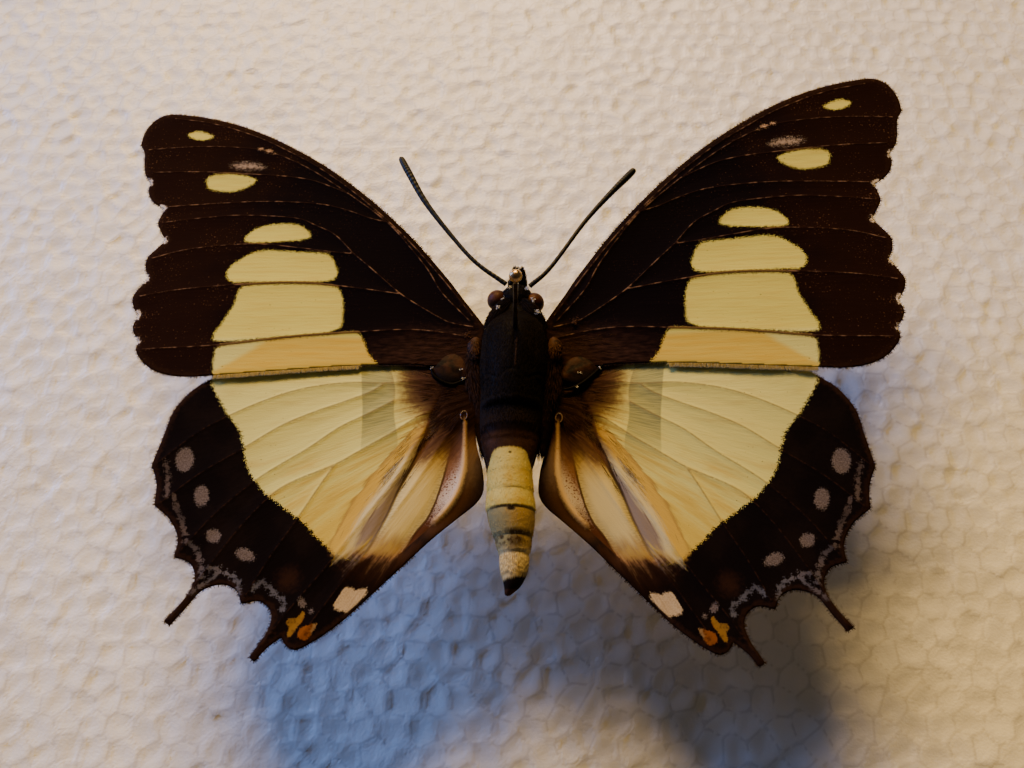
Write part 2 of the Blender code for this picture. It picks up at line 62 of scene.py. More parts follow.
# Body stations along Y: y, half width, underside z, top z, middle x
BODY = (
    (4.30, 0.10, 0.35, 0.75, 0.23),
    (4.10, 0.80, -0.50, 1.60, 0.22),
    (3.85, 1.30, -0.92, 2.08, 0.20),
    (3.20, 1.78, -1.26, 2.42, 0.14),
    (2.30, 1.95, -1.36, 2.56, 0.06),
    (1.60, 1.80, -1.15, 2.42, 0.04),
    (1.25, 1.90, -1.05, 2.34, 0.06),
    (0.92, 2.12, -1.08, 2.34, 0.06),
    (0.62, 2.32, -1.26, 2.40, 0.06),
    (0.30, 2.46, -1.30, 2.46, 0.06),
    (0.05, 2.62, -1.45, 2.58, 0.05),
    (-0.45, 2.98, -2.05, 3.00, 0.03),
    (-1.60, 3.44, -2.84, 3.68, -0.02),
    (-3.60, 3.68, -3.34, 4.13, -0.11),
    (-5.80, 3.68, -3.54, 4.13, -0.21),
    (-7.60, 3.53, -3.54, 3.90, -0.29),
    (-8.60, 3.38, -3.44, 3.74, -0.34),
    (-10.40, 3.34, -3.24, 3.40, -0.42),
    (-11.20, 3.34, -3.14, 2.85, -0.45),
    (-12.80, 3.24, -2.84, 2.50, -0.53),
    (-14.20, 3.12, -2.60, 2.20, -0.60),
    (-15.00, 2.98, -2.50, 2.05, -0.62),
    (-16.20, 2.62, -2.45, 1.98, -0.62),
    (-17.20, 2.36, -2.48, 2.00, -0.60),
    (-20.10, 2.44, -2.66, 1.98, -0.55),
    (-22.10, 2.50, -2.83, 1.94, -0.46),
    (-24.70, 1.94, -2.42, 1.24, -0.25),
    (-26.40, 1.54, -2.15, 0.78, -0.12),
    (-28.30, 1.27, -2.01, 0.42, -0.16),
    (-29.60, 0.84, -1.68, -0.02, -0.32),
    (-30.40, 0.34, -1.30, -0.62, -0.74),
    (-30.55, 0.06, -1.02, -0.88, -0.80),
)
HEAD_TURN = math.radians(-5.0)
HEAD_PIVOT = np.array((0.05, 2.2))
EYE_R = 1.18
EYE_AT = (2.08, 2.3, 0.85)
# Feelers, legs and the rest: x, y, z, radius
PALP = ((0.66, 3.90, -0.30, 0.34), (0.64, 4.75, 0.10, 0.44), (0.55, 5.30, 0.70, 0.42),
        (0.44, 5.80, 1.25, 0.32), (0.34, 6.15, 1.65, 0.16))
ANTENNA_LEFT = ((-1.05, 3.75, 2.35, 0.28), (-4.36, 6.27, 2.70, 0.24), (-7.05, 9.42, 3.00, 0.25),
                (-10.44, 14.13, 3.50, 0.33), (-12.60, 18.20, 3.85, 0.41), (-13.52, 20.05, 4.00, 0.36),
                (-13.64, 20.28, 4.02, 0.16))
ANTENNA_RIGHT = ((1.66, 3.58, 2.15, 0.28), (4.03, 5.73, 2.70, 0.24), (8.03, 11.65, 3.00, 0.25),
                 (11.07, 15.28, 3.50, 0.33), (13.15, 17.48, 3.85, 0.41), (14.02, 18.41, 4.00, 0.36),
                 (14.19, 18.60, 4.02, 0.16))
COIL_AT = (0.0, 3.1, -3.05)
COIL_R = 1.1
FORELEG = ((0.95, -0.60, -2.72, 0.30), (1.25, 0.45, -2.78, 0.32), (1.50, 1.25, -3.15, 0.30),
           (1.45, 1.25, -3.85, 0.26), (1.15, 0.30, -4.25, 0.24), (0.90, -1.60, -4.45, 0.17))
MIDLEG = ((1.25, -4.20, -3.86, 0.36), (3.10, -1.90, -4.80, 0.38), (2.60, -5.60, -6.00, 0.26),
          (1.90, -9.20, -6.60, 0.17))
HINDLEG = ((1.20, -9.40, -3.83, 0.36), (3.40, -7.50, -4.60, 0.38), (3.10, -12.20, -5.60, 0.26),
           (2.20, -16.40, -6.00, 0.17))
# Lobes over the wing roots: middle, half lengths, turn in degrees
TEGULAE = (((-4.55, -3.45, 0.85), (0.80, 1.20, 0.52), -12.0),
           ((4.45, -3.55, 1.05), (0.80, 1.20, 0.52), 12.0))
PLATES = (((-7.10, -5.75, 0.02), (2.30, 1.95, 0.36), -12.0),
          ((7.20, -5.90, -0.02), (2.40, 1.70, 0.36), 24.0))

# Each wing's plane: turn in it, raise of its outer side, raise of its front, root x, y, z
POSE = {
    ("fore", 1): (0.15, 4.2, 2.4, 3.5, 0.0, 0.0),
    ("fore", -1): (-0.15, -0.4, -2.6, 3.9, 0.0, 0.0),
    ("hind", 1): (-0.6, 4.0, 2.3, 3.2, -8.15, -0.80),
    ("hind", -1): (0.6, -0.6, -2.6, 3.9, -8.30, -0.10),
}
# Outline of each wing, u outwards from the body and v towards the head, from the front root round
# to the rear root; a corner ends each run
FORE_RUNS = (
    ((-0.5, -0.5), (2.0, 3.1), (4.0, 6.1), (8.0, 11.4), (12.0, 15.9), (16.0, 19.8), (20.0, 23.2),
     (24.0, 26.0), (28.0, 28.4), (32.0, 30.3), (36.0, 31.6), (39.5, 32.3), (41.9, 32.4),
     (43.4, 31.3), (44.2, 29.3), (44.3, 27.3)),
    ((44.3, 27.3), (43.5, 25.8), (43.2, 24.0), (42.7, 22.3), (41.7, 20.9)),
    ((41.7, 20.9), (41.8, 19.6), (41.0, 18.0), (39.2, 16.6)),
    ((39.2, 16.6), (39.6, 14.6), (39.0, 13.2), (38.2, 11.9)),
    ((38.2, 11.9), (39.1, 10.6), (39.9, 9.2), (39.8, 7.8), (39.2, 6.5)),
    ((39.2, 6.5), (39.9, 5.2), (40.5, 3.8), (40.1, 2.3), (39.3, 1.3)),
    ((39.3, 1.3), (39.7, 0.0), (39.4, -1.1), (38.6, -2.1)),
    ((38.6, -2.1), (38.7, -3.3), (37.9, -4.6), (36.3, -5.9), (34.3, -6.6), (32.0, -6.8),
     (29.0, -6.6), (21.0, -6.0), (14.0, -5.5), (8.0, -5.4), (3.5, -5.6), (0.5, -5.4)),
)
HIND_RUNS = (
    ((0.2, 1.8), (2.5, 3.2), (6.0, 4.6), (12.0, 5.6), (18.0, 5.6), (23.0, 4.6), (27.0, 2.9),
     (29.6, 1.2), (31.7, -0.4), (33.2, -2.8), (33.7, -5.5), (34.3, -9.2)),
    ((34.3, -9.2), (33.4, -11.3), (33.1, -13.7)),
    ((33.1, -13.7), (31.2, -15.2), (30.0, -17.2), (30.0, -19.1)),
    ((30.0, -19.1), (28.3, -19.7), (27.5, -21.3), (28.1, -23.2), (29.8, -25.4)),
    ((29.8, -25.4), (29.1, -25.8)),
    ((29.1, -25.8), (28.0, -24.3), (26.6, -22.4), (24.7, -21.8), (23.2, -22.4), (22.5, -23.7)),
    ((22.5, -23.7), (20.8, -23.4), (19.5, -24.5), (19.6, -26.3), (21.0, -28.7)),
    ((21.0, -28.7), (20.4, -29.1)),
    ((20.4, -29.1), (19.5, -27.9), (18.2, -26.8)),
    ((18.2, -26.8), (17.5, -27.7), (16.2, -27.8), (13.0, -25.6), (9.8, -22.5), (4.9, -17.5),
     (1.8, -14.6), (0.0, -12.9), (-0.7, -11.4), (-0.5, -9.0), (0.1, -6.8), (0.4, -4.6)),
)
# Main veins, from the root outwards
FORE_VEINS = (
    ((1.0, 0.9), (4.9, 6.4), (8.8, 11.4), (12.8, 15.8), (16.8, 19.6), (20.8, 22.9), (24.7, 25.5),
     (28.6, 27.8), (32.4, 29.5), (36.2, 30.8), (40.5, 31.6)),
    ((1.2, 0.1), (4.5, 3.9), (6.2, 7.0), (8.7, 10.6), (11.6, 14.2), (16.6, 18.6), (22.4, 23.0),
     (27.8, 25.7), (33.0, 26.5), (38.1, 26.6), (43.0, 26.3)),
    ((16.6, 18.6), (20.8, 20.6), (24.2, 21.4), (28.0, 21.8), (35.1, 22.4), (41.8, 22.5)),
    ((11.6, 14.2), (13.9, 14.9), (16.7, 16.1), (20.5, 17.1), (27.1, 17.5), (34.3, 17.2), (38.9, 16.9)),
    ((15.2, 9.5), (17.7, 12.3), (20.1, 13.7), (22.9, 14.9), (29.5, 15.4), (34.0, 15.1), (38.9, 14.5)),
    ((15.2, 9.5), (17.8, 9.8), (21.1, 10.3), (26.4, 11.0), (30.9, 10.9), (35.6, 10.3), (39.2, 9.2)),
    ((0.9, -0.6), (2.9, -0.2), (4.4, 0.4), (7.7, 2.6), (9.3, 3.8), (11.0, 5.4), (13.1, 7.5),
     (15.2, 9.5)),
    ((9.3, 3.8), (14.2, 4.6), (20.6, 5.4), (26.9, 5.3), (34.7, 4.7), (39.7, 3.8)),
    ((1.0, -2.0), (5.3, -1.2), (9.1, -1.0), (13.7, -1.3), (21.4, -1.9), (29.5, -2.9), (38.0, -3.3)),
)
HIND_VEINS = (
    ((1.4, 1.0), (6.5, 3.2), (12.0, 4.3), (18.0, 4.2), (23.0, 3.1), (27.5, 1.2)),
    ((1.2, 0.0), (5.0, 1.1), (10.4, 0.6), (14.5, 0.6), (19.0, -0.1), (22.8, -1.4), (27.0, -3.5),
     (30.2, -5.6), (33.7, -9.0)),
    ((10.4, 0.6), (12.1, -0.6), (14.8, -1.8), (18.0, -3.1), (21.2, -4.7), (24.7, -7.2),
     (29.0, -10.2), (32.5, -13.4)),
    ((9.4, -1.6), (12.4, -3.4), (15.0, -4.9), (18.1, -7.4), (22.6, -10.6), (26.5, -14.4),
     (29.5, -18.5)),
    ((1.2, -1.0), (5.7, -2.9), (9.4, -5.5), (12.0, -7.2), (14.9, -9.1), (18.8, -10.9),
     (21.2, -12.6), (24.0, -16.2), (26.8, -20.9), (29.1, -25.0)),
    ((14.9, -9.1), (16.2, -11.4), (18.2, -15.2), (20.3, -18.9), (22.3, -23.1)),
    ((1.1, -1.9), (4.6, -3.4), (6.5, -6.4), (8.6, -10.8), (11.4, -14.9), (14.4, -19.6),
     (17.4, -23.7), (20.4, -28.1)),
    ((1.2, -2.8), (3.6, -6.0), (6.0, -10.4), (9.3, -15.8), (12.5, -20.8), (16.4, -26.8)),
)
WINGS = {"fore": (FORE_RUNS, FORE_VEINS), "hind": (HIND_RUNS, HIND_VEINS)}
STEP = 0.185    # spacing of a wing's points
CAMBER, CAMBER_SPAN = 0.3, 44.0
MEMBRANE = 0.16                   # thickness of a wing
# Depth and half width of the troughs between veins, and of the hindwing's seam and groove
TROUGH, SEAM_FOLD, GROOVE_FOLD = (0.11, 1.1), (0.30, 1.0), (0.22, 0.45)
# Height and half width of its ridge, then the drop past it and the way on which it drops
RIDGE, RIDGE_DROP = (0.34, 0.36), (0.5, 2.2)
RIM_WAY, RIM_SHARE = 0.35, 0.45   # a wing's rim: how far in it thins, and to what share
HAIR_SINK = 0.03                  # how deep a hair's root is in a wing
BUNCH = 4000                      # points compared with a line at a time

# Cream patches of the forewing, from the tip towards the rear edge
FORE_CREAM = (
    ((35.0, 28.4), (35.9, 29.0), (37.2, 29.4), (38.4, 28.9), (37.6, 28.1), (36.1, 27.8)),
    ((28.4, 20.9), (30.0, 21.7), (32.4, 22.0), (34.5, 21.6), (34.3, 19.9), (32.0, 19.2), (30.0, 19.6)),
    ((20.7, 12.5), (22.1, 13.8), (24.8, 14.1), (27.3, 13.5), (28.6, 11.9), (27.7, 11.3), (24.5, 11.4),
     (21.3, 11.8)),
    ((17.0, 6.4), (17.4, 8.3), (18.4, 9.5), (21.1, 9.8), (26.3, 10.1), (28.7, 8.9), (30.0, 7.3),
     (29.3, 5.7), (26.3, 5.6), (18.7, 5.6)),
    ((16.4, 4.3), (18.7, 5.1), (25.7, 5.2), (28.1, 4.7), (28.5, 2.6), (29.4, 0.4), (30.2, -1.5),
     (29.3, -2.4), (23.0, -1.9), (16.6, -1.1), (15.8, 1.0)),
    ((13.9, -1.4), (16.8, -1.6), (23.0, -2.2), (28.9, -3.0), (29.7, -4.4), (28.7, -7.4),
     (22.5, -7.4), (11.6, -7.0), (12.6, -3.8)),
)
FORE_DASH = ((27.3, 22.9), (28.6, 23.9), (30.4, 24.2), (32.2, 23.6), (31.4, 22.8), (29.3, 22.5))
FORE_DOTS = ((27.4, 25.7, 0.35), (28.5, 26.1, 0.28), (26.6, 25.2, 0.16))
# White notches on the outer edge: u, v, radius
FORE_NOTCHES = (
    (43.9, 25.6, 0.45), (42.0, 21.0, 0.65), (39.4, 16.8, 0.6), (38.3, 11.9, 0.55),
    (39.7, 6.3, 0.7), (39.6, 1.4, 0.7), (38.9, -2.2, 0.6),
)

# Cream field of the hindwing, and what lies on and round it
HIND_CREAM = (
    (-6.0, 9.0), (30.0, 6.0), (29.6, 2.2), (29.5, 0.1), (27.3, -3.2), (25.5, -5.6), (24.2, -9.2),
    (22.4, -11.8), (20.0, -13.7), (17.6, -15.4), (15.3, -17.5), (14.0, -18.6), (12.2, -19.3),
    (9.3, -19.9), (6.6, -17.4), (4.2, -14.6), (2.2, -12.6), (0.9, -11.0), (0.1, -8.0), (-6.0, -6.0),
)
HIND_GREY = (
    # u, v, half length, half width, turn in degrees
    (30.9, -8.6, 1.35, 0.95, 80.0),
    (28.4, -12.6, 1.15, 0.75, 75.0),
    (26.4, -16.9, 0.80, 0.65, 30.0),
    (22.9, -18.8, 1.00, 0.60, 20.0),
    (16.6, -23.5, 0.52, 0.34, 60.0),
    (15.6, -24.3, 0.26, 0.20, 60.0),
)
HIND_LUNULES = (
    ((32.9, -8.9), (32.3, -10.6), (32.0, -12.6)),
    ((31.4, -12.6), (30.7, -14.0), (30.0, -15.2), (29.4, -16.7)),
    ((29.2, -17.4), (28.0, -18.2), (27.2, -19.6), (26.9, -21.2)),
    ((26.3, -20.2), (25.2, -20.5), (27.5, -22.6)),
    ((24.4, -20.7), (23.3, -21.3), (22.9, -22.6)),
    ((21.5, -22.2), (20.7, -21.6), (19.7, -22.4), (19.0, -22.9), (18.4, -23.3), (18.4, -24.3)),
)
HIND_SMUDGE = (18.2, -21.2, 1.6)
HIND_PALE = ((12.6, -22.1), (11.4, -22.1), (10.5, -22.0), (10.5, -22.8), (11.2, -23.7), (12.0, -24.4),
             (12.9, -24.2), (13.4, -23.7), (13.1, -23.0))
HIND_SUN = (
    ((16.35, -24.3), (16.2, -24.7), (16.4, -25.4), (16.8, -25.9), (17.3, -26.75), (17.7, -26.6),
     (17.6, -25.9), (17.9, -25.5), (17.75, -25.1), (17.3, -25.0), (16.9, -24.9), (16.6, -24.5)),
    ((16.7, -26.6), (16.4, -25.9), (15.5, -25.6), (14.9, -25.4), (15.05, -26.0), (15.4, -26.6),
     (15.8, -27.1), (16.3, -27.0)),
)
# Lines of the hindwing's inner part: the dark groove, the middle of the gold hair on its outer
# side, and on its inner side the dark seam and the bright ridge
HIND_GROOVE = ((3.3, -0.3), (4.4, -1.8), (5.0, -4.0), (5.4, -5.9), (6.2, -7.6), (6.9, -9.1),
               (7.55, -10.5), (8.3, -12.3), (9.15, -14.7), (10.1, -16.9), (11.0, -18.6))
HIND_GOLD = ((4.7, -3.2), (5.5, -4.5), (6.95, -6.3), (8.0, -7.8), (9.4, -9.6), (10.7, -11.6),
             (11.8, -13.6), (12.8, -15.7), (13.6, -18.0))
HIND_SEAM = ((2.6, -5.0), (2.85, -7.0), (3.2, -8.7), (3.6, -10.6), (4.2, -12.9), (5.0, -14.8),
             (5.9, -16.0), (7.2, -18.0))
HIND_RIDGE = ((1.45, -3.0), (1.45, -5.5), (1.4, -7.6), (1.45, -9.6), (2.0, -12.0), (3.1, -13.9),
              (4.3, -15.2))
# Hairy brown root, brown rear margin and olive strip of the hindwing
HIND_BASE = (
    (-5.0, 9.0), (7.4, 9.0), (8.0, 4.6), (8.3, 2.4), (8.1, 0.5), (7.6, -1.4), (6.3, -2.6), (5.5, -4.2),
    (5.5, -5.9), (6.0, -7.4), (5.7, -8.1), (4.8, -7.6), (3.4, -7.3), (2.6, -8.0), (1.9, -7.0),
    (0.6, -6.0), (-5.0, -6.0),
)
HIND_BROWN = (
    (15.4, -17.6), (13.6, -18.7), (12.2, -18.5), (9.9, -18.6), (7.9, -18.4), (5.9, -16.7), (4.4, -14.9),
    (1.6, -13.6), (0.4, -12.0), (-2.0, -11.0), (-3.0, -14.0), (3.0, -22.0), (12.0, -31.0), (20.0, -31.0),
    (19.0, -22.0),
)
HIND_STRIP = (
    (13.4, 6.0), (9.9, 6.0), (10.1, 3.2), (9.3, 0.1), (9.2, -3.1), (8.6, -6.9), (10.5, -9.0),
    (12.3, -10.4), (12.4, -7.6), (12.6, -3.1), (13.0, 0.5),
)


class Signal:
    """A number, colour or vector inside a finish, written like a number."""

    def __init__(self, finish, socket):
        self.finish = finish
        self.socket = socket

    def sum_of(self, operation, *values):
        return self.finish.node("ShaderNodeMath", {"operation": operation}, dict(enumerate(values)))

    def __add__(self, other):
        return self.sum_of("ADD", self, other)

    __radd__ = __add__

    def __sub__(self, other):
        return self.sum_of("SUBTRACT", self, other)

    def __rsub__(self, other):
        return self.sum_of("SUBTRACT", other, self)

    def __mul__(self, other):
        return self.sum_of("MULTIPLY", self, other)

    __rmul__ = __mul__

    def __truediv__(self, other):
        return self.sum_of("DIVIDE", self, other)

    def __rtruediv__(self, other):
        return self.sum_of("DIVIDE", other, self)

    def __neg__(self):
        return 0.0 - self

    def __pow__(self, other):
        return self.sum_of("POWER", self, other)

    def least(self, other):
        return self.sum_of("MINIMUM", self, other)

    def size(self):
        return self.sum_of("ABSOLUTE", self)

    def ramp(self, low, high):
        """Rises smoothly from 0 where the value is low to 1 where it is high."""
        return self.finish.node("ShaderNodeMapRange", {"interpolation_type": "SMOOTHSTEP"},
                                {0: self, 1: low, 2: high, 3: 0.0, 4: 1.0})

    def fall(self, low, high):
        """Falls smoothly from 1 where the value is low to 0 where it is high."""
        return 1.0 - self.ramp(low, high)


class Finish:
    """A procedural material; values that don't vary are set on its shader's own sockets."""

    def __init__(self, name, **fixed):
        self.material = bpy.data.materials.new(name)
        self.material.use_nodes = True
        self.tree = self.material.node_tree
        self.shader = self.tree.nodes["Principled BSDF"]
        for key, value in fixed.items():
            self.set(key, value)

    def set(self, key, value):
        """Sets or links a socket of the shader; underscores in its name stand for spaces."""
        socket = self.shader.inputs[key.replace("_", " ")]
        if isinstance(value, Signal):
            self.tree.links.new(value.socket, socket)
        else:
            socket.default_value = (*value, 1.0) if isinstance(value, tuple) and len(value) == 3 else value

    def node(self, kind, settings=None, inputs=None, out=0):
        """A node of any kind, with its settings, and the values or links of its inputs."""
        made = self.tree.nodes.new(kind)
        for key, value in (settings or {}).items():
            setattr(made, key, value)
        for key, value in (inputs or {}).items():
            socket = made.inputs[key]
            if isinstance(value, Signal):
                self.tree.links.new(value.socket, socket)
            elif socket.type == "RGBA" and len(value) == 3:
                socket.default_value = (*value, 1.0)
            else:
                socket.default_value = value
        return Signal(self, made.outputs[out])

    def mark(self, name):
        """A number that each point of the mesh carries."""
        return self.node("ShaderNodeAttribute", {"attribute_name": name}, out=2)

    def place(self):
        """The place on the part, in millimetres."""
        spot = self.node("ShaderNodeTexCoord", out=3)
        return self.node("ShaderNodeVectorMath", {"operation": "SCALE"}, {0: spot, 3: 1 / MM})

    def axis(self, vector, index):
        return self.node("ShaderNodeSeparateXYZ", None, {0: vector}, index)

    def vector(self, x, y, z=0.0):
        return self.node("ShaderNodeCombineXYZ", None, {0: x, 1: y, 2: z})

    def length(self, x, y, z=0.0):
        return self.node("ShaderNodeVectorMath", {"operation": "LENGTH"}, {0: self.vector(x, y, z)}, 1)

    def noise(self, vector, scale, detail=2.0, rough=0.5):
        """Soft random values near 0.5; scale is in waves per unit of the vector."""
        return self.node("ShaderNodeTexNoise", None,
                         {"Vector": vector, "Scale": scale, "Detail": detail, "Roughness": rough})

    def mix(self, share, first, second):
        """A colour between the first and the second."""
        return self.node("ShaderNodeMix", {"data_type": "RGBA"}, {0: share, 6: first, 7: second}, 2)

    def bump(self, height, strength, distance, under=None):
        inputs = {"Height": height, "Strength": strength, "Distance": distance}
        if under is not None:
            inputs["Normal"] = under
        return self.node("ShaderNodeBump", None, inputs)


def world(points):
    """Points of the specimen's frame, in metres of the part's."""
    return (np.asarray(points, float) + SPECIMEN) * MM


def piece(name, verts, faces, finish, replaces, marks, chart):
    """A finished piece of the part: mesh, numbers carried by its points, chart for baking, finish."""
    mesh = bpy.data.meshes.new(name)
    verts = np.ascontiguousarray(verts, np.float32)
    faces = np.ascontiguousarray(faces, np.int32)
    sides = faces.shape[1]
    mesh.vertices.add(len(verts))
    mesh.vertices.foreach_set("co", verts.ravel())
    mesh.loops.add(faces.size)
    mesh.loops.foreach_set("vertex_index", faces.ravel())
    mesh.polygons.add(len(faces))
    mesh.polygons.foreach_set("loop_start", np.arange(0, faces.size, sides, dtype=np.int32))
    mesh.polygons.foreach_set("loop_total", np.full(len(faces), sides, np.int32))
    mesh.update(calc_edges=True)
    mesh.validate()
    mesh.polygons.foreach_set("use_smooth", np.full(len(mesh.polygons), True))
    for key, values in marks.items():
        field = mesh.attributes.new(key, "FLOAT", "POINT")
        field.data.foreach_set("value", np.ascontiguousarray(values, np.float32))
    layer = mesh.uv_layers.new(name="OFBake")
    corner = np.empty(len(mesh.loops), np.int32)
    mesh.loops.foreach_get("vertex_index", corner)
    layer.data.foreach_set("uv", np.ascontiguousarray(chart, np.float32)[corner].ravel())
    mesh.materials.append(finish.material)
    ob = bpy.data.objects.new(name, mesh)
    bpy.context.scene.collection.objects.link(ob)
    if replaces:
        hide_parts(*replaces)
    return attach(ob, "root")


def smooth_line(points, parts):
    """A smooth curve through the points: each span is the cubic whose end slopes are half the step
    between the neighbours on either side."""
    p = np.asarray(points, float)
    p = np.vstack((2 * p[0] - p[1], p, 2 * p[-1] - p[-2]))
    a, b, c, d = p[:-3, None], p[1:-2, None], p[2:-1, None], p[3:, None]
    t = (np.arange(parts) / parts)[None, :, None]
    line = 0.5 * (2 * b + (c - a) * t + (2 * a - 5 * b + 4 * c - d) * t ** 2
                  + (3 * b - a - 3 * c + d) * t ** 3)
    return np.vstack((line.reshape(-1, p.shape[1]), p[-2:-1]))


def smooth_loop(points, parts):
    """The same smooth curve, closed."""
    p = np.asarray(points, float)
    count = len(p)
    return smooth_line(np.vstack((p[-1:], p, p[:2])), parts)[parts:parts * (count + 1)]


def nearest(points, line):
    """Distance from each point to an open line of straight pieces, and the nearest place on it."""
    a, b = line[:-1], line[1:]
    along = b - a
    square = np.maximum((along ** 2).sum(1), 1e-12)
    best = np.empty(len(points))
    place = np.empty((len(points), 2))
    for start in range(0, len(points), BUNCH):
        q = points[start:start + BUNCH, None]
        t = np.clip(((q - a) * along).sum(2) / square, 0, 1)
        spot = a + t[..., None] * along
        gap = ((q - spot) ** 2).sum(2)
        pick = gap.argmin(1)
        rows = np.arange(len(pick))
        best[start:start + BUNCH] = np.sqrt(gap[rows, pick])
        place[start:start + BUNCH] = spot[rows, pick]
    return best, place


def within(points, loop):
    """True for each point inside a closed line, by counting the edges that a ray to its right meets."""
    a, b = loop, np.roll(loop, -1, axis=0)
    rise = np.where(b[:, 1] == a[:, 1], 1e-12, b[:, 1] - a[:, 1])
    hit = np.zeros(len(points), bool)
    for start in range(0, len(points), BUNCH):
        q = points[start:start + BUNCH, None]
        across = (a[:, 1] > q[..., 1]) != (b[:, 1] > q[..., 1])
        left = q[..., 0] < a[:, 0] + (q[..., 1] - a[:, 1]) / rise * (b[:, 0] - a[:, 0])
        hit[start:start + BUNCH] = (across & left).sum(1) % 2 == 1
    return hit


def depth_in(points, loop):
    """Distance to a closed line, positive inside it."""
    gap, _ = nearest(points, np.vstack((loop, loop[:1])))
    return np.where(within(points, loop), gap, -gap)


def grid_faces(rows, columns, closed=False):
    """Four-sided faces of a grid of points; closed joins the last column to the first."""
    i = np.arange(rows - 1)[:, None]
    j = np.arange(columns if closed else columns - 1)[None]
    k = (j + 1) % columns
    a, b, c, d = np.broadcast_arrays(i * columns + j, i * columns + k,
                                     (i + 1) * columns + k, (i + 1) * columns + j)
    return np.stack((a, b, c, d), -1).reshape(-1, 4)


def wing_axes(kind, side):
    """Root point of a wing and its unit directions: outwards, forwards and out of its upper face."""
    turn, outer, front, x, y, z = POSE[kind, side]
    a, d, r = np.radians((turn, outer, front))

    def turned(u, v, w):
        u, v = u * math.cos(a) - v * math.sin(a), u * math.sin(a) + v * math.cos(a)
        v, w = v * math.cos(r) - w * math.sin(r), v * math.sin(r) + w * math.cos(r)
        u, w = u * math.cos(d) - w * math.sin(d), u * math.sin(d) + w * math.cos(d)
        return np.array((side * u, v, w))

    return np.array((side * x, y, z)), turned(1, 0, 0), turned(0, 1, 0), turned(0, 0, 1)


def wing_loop(runs):
    """The closed outline of a wing, smooth along each run and cornered between them."""
    return np.vstack([smooth_line(run, 5)[:-1] for run in runs] + [np.asarray(runs[-1][-1:])])


def vein_nearest(flat, veins):
    """Distance from each point to the nearest vein, and the nearest place on it."""
    found = [nearest(flat, smooth_line(vein, 4)) for vein in veins]
    gaps = np.array([gap for gap, _ in found])
    pick, rows = gaps.argmin(0), np.arange(len(flat))
    return gaps[pick, rows], np.array([place for _, place in found])[pick, rows]


def sheet_of(loop, step, veins):
    """Triangles that fill a closed line: a square grid whose points near the line are moved onto it,
    and those nearest to a vein onto the vein, with the cells cut along it."""
    low = loop.min(0) - 1.3 * step
    count = np.ceil((loop.max(0) + 1.3 * step - low) / step).astype(int) + 1
    i, j = np.meshgrid(np.arange(count[0]), np.arange(count[1]), indexing="ij")
    flat = low + step * np.stack((i, j), -1).reshape(-1, 2)
    gap, place = nearest(flat, np.vstack((loop, loop[:1])))
    inner = within(flat, loop)
    rim = gap < 0.5 * step
    flat[rim] = place[rim]
    valid = inner | rim
    gap, place = vein_nearest(flat, veins)
    way = np.abs(place - flat).max(1) / np.maximum(gap, 1e-9)
    on = ~rim & (gap < 0.49 * step * way)
    flat[on] = place[on]
    n = np.arange(len(flat)).reshape(count)
    a, b, c, d = (x.ravel() for x in (n[:-1, :-1], n[1:, :-1], n[1:, 1:], n[:-1, 1:]))
    cells = np.stack((a, b, c, d), 1)
    sound = valid[cells]
    turned = (i[:-1, :-1] + j[:-1, :-1]).ravel() % 2 == 1
    turned = np.where(on[a] & on[c], False, turned | (on[b] & on[d]))
    whole = sound.all(1)
    tris = [cells[whole & ~turned][:, (0, 1, 2)], cells[whole & ~turned][:, (0, 2, 3)],
            cells[whole & turned][:, (0, 1, 3)], cells[whole & turned][:, (1, 2, 3)]]
    for k in range(4):
        lone = (sound.sum(1) == 3) & ~sound[:, k]
        tris.append(np.delete(cells[lone], k, axis=1))
    tris = np.vstack(tris)
    p, q, r = (flat[tris[:, k]] for k in range(3))
    area = (q[:, 0] - p[:, 0]) * (r[:, 1] - p[:, 1]) - (q[:, 1] - p[:, 1]) * (r[:, 0] - p[:, 0])
    middle = (p + q + r) / 3
    on_rim = rim[tris].all(1)
    keep = (area > 0.02 * step ** 2) | ~rim[tris].any(1)
    keep[on_rim] &= within(middle[on_rim], loop)
    tris = tris[keep]
    used, tris = np.unique(tris, return_inverse=True)
    return flat[used], tris.reshape(-1, 3)


def beside(flat, line):
    """Distance to a line that runs down the hindwing, positive on the line's side towards the body."""
    path = smooth_line(line, 5)
    gap, _ = nearest(flat, path)
    last = path[-1] + 12.0 * (path[-1] - path[-4])
    loop = np.vstack((path[0] + (-0.3, 12.0), path, last, (-20.0, last[1]), (-20.0, path[0, 1] + 12.0)))
    return np.where(within(flat, loop), gap, -gap)


def bell(value, middle, width):
    """1 at the middle, falling smoothly to 0 about two widths away."""
    return np.exp(-((value - middle) / width) ** 2)


def wing_height(kind, flat, near):
    """Height of a wing's middle surface above its plane: a long camber, a shallow trough between
    the veins, and on the hindwing the creases and the ridge beside the abdomen."""
    u, v = np.clip(flat[:, 0], 0, CAMBER_SPAN), flat[:, 1]
    mid = CAMBER * np.sin(np.pi * u / CAMBER_SPAN) - TROUGH[0] * (1 - bell(near, 0.0, TROUGH[1]))
    if kind == "hind":
        for line, (depth, half) in ((HIND_SEAM, SEAM_FOLD), (HIND_GROOVE, GROOVE_FOLD)):
            mid -= depth * bell(beside(flat, line), 0.0, half)
        ridge = beside(flat, HIND_RIDGE)
        low = np.clip(-2.6 - v, 0.0, 1.0) * np.clip((17.0 + v) / 3.0, 0.0, 1.0)
        mid += low * (RIDGE[0] * bell(ridge, 0.0, RIDGE[1])
                      - RIDGE_DROP[0] * np.clip(ridge / RIDGE_DROP[1], 0.0, 1.0))
    return mid


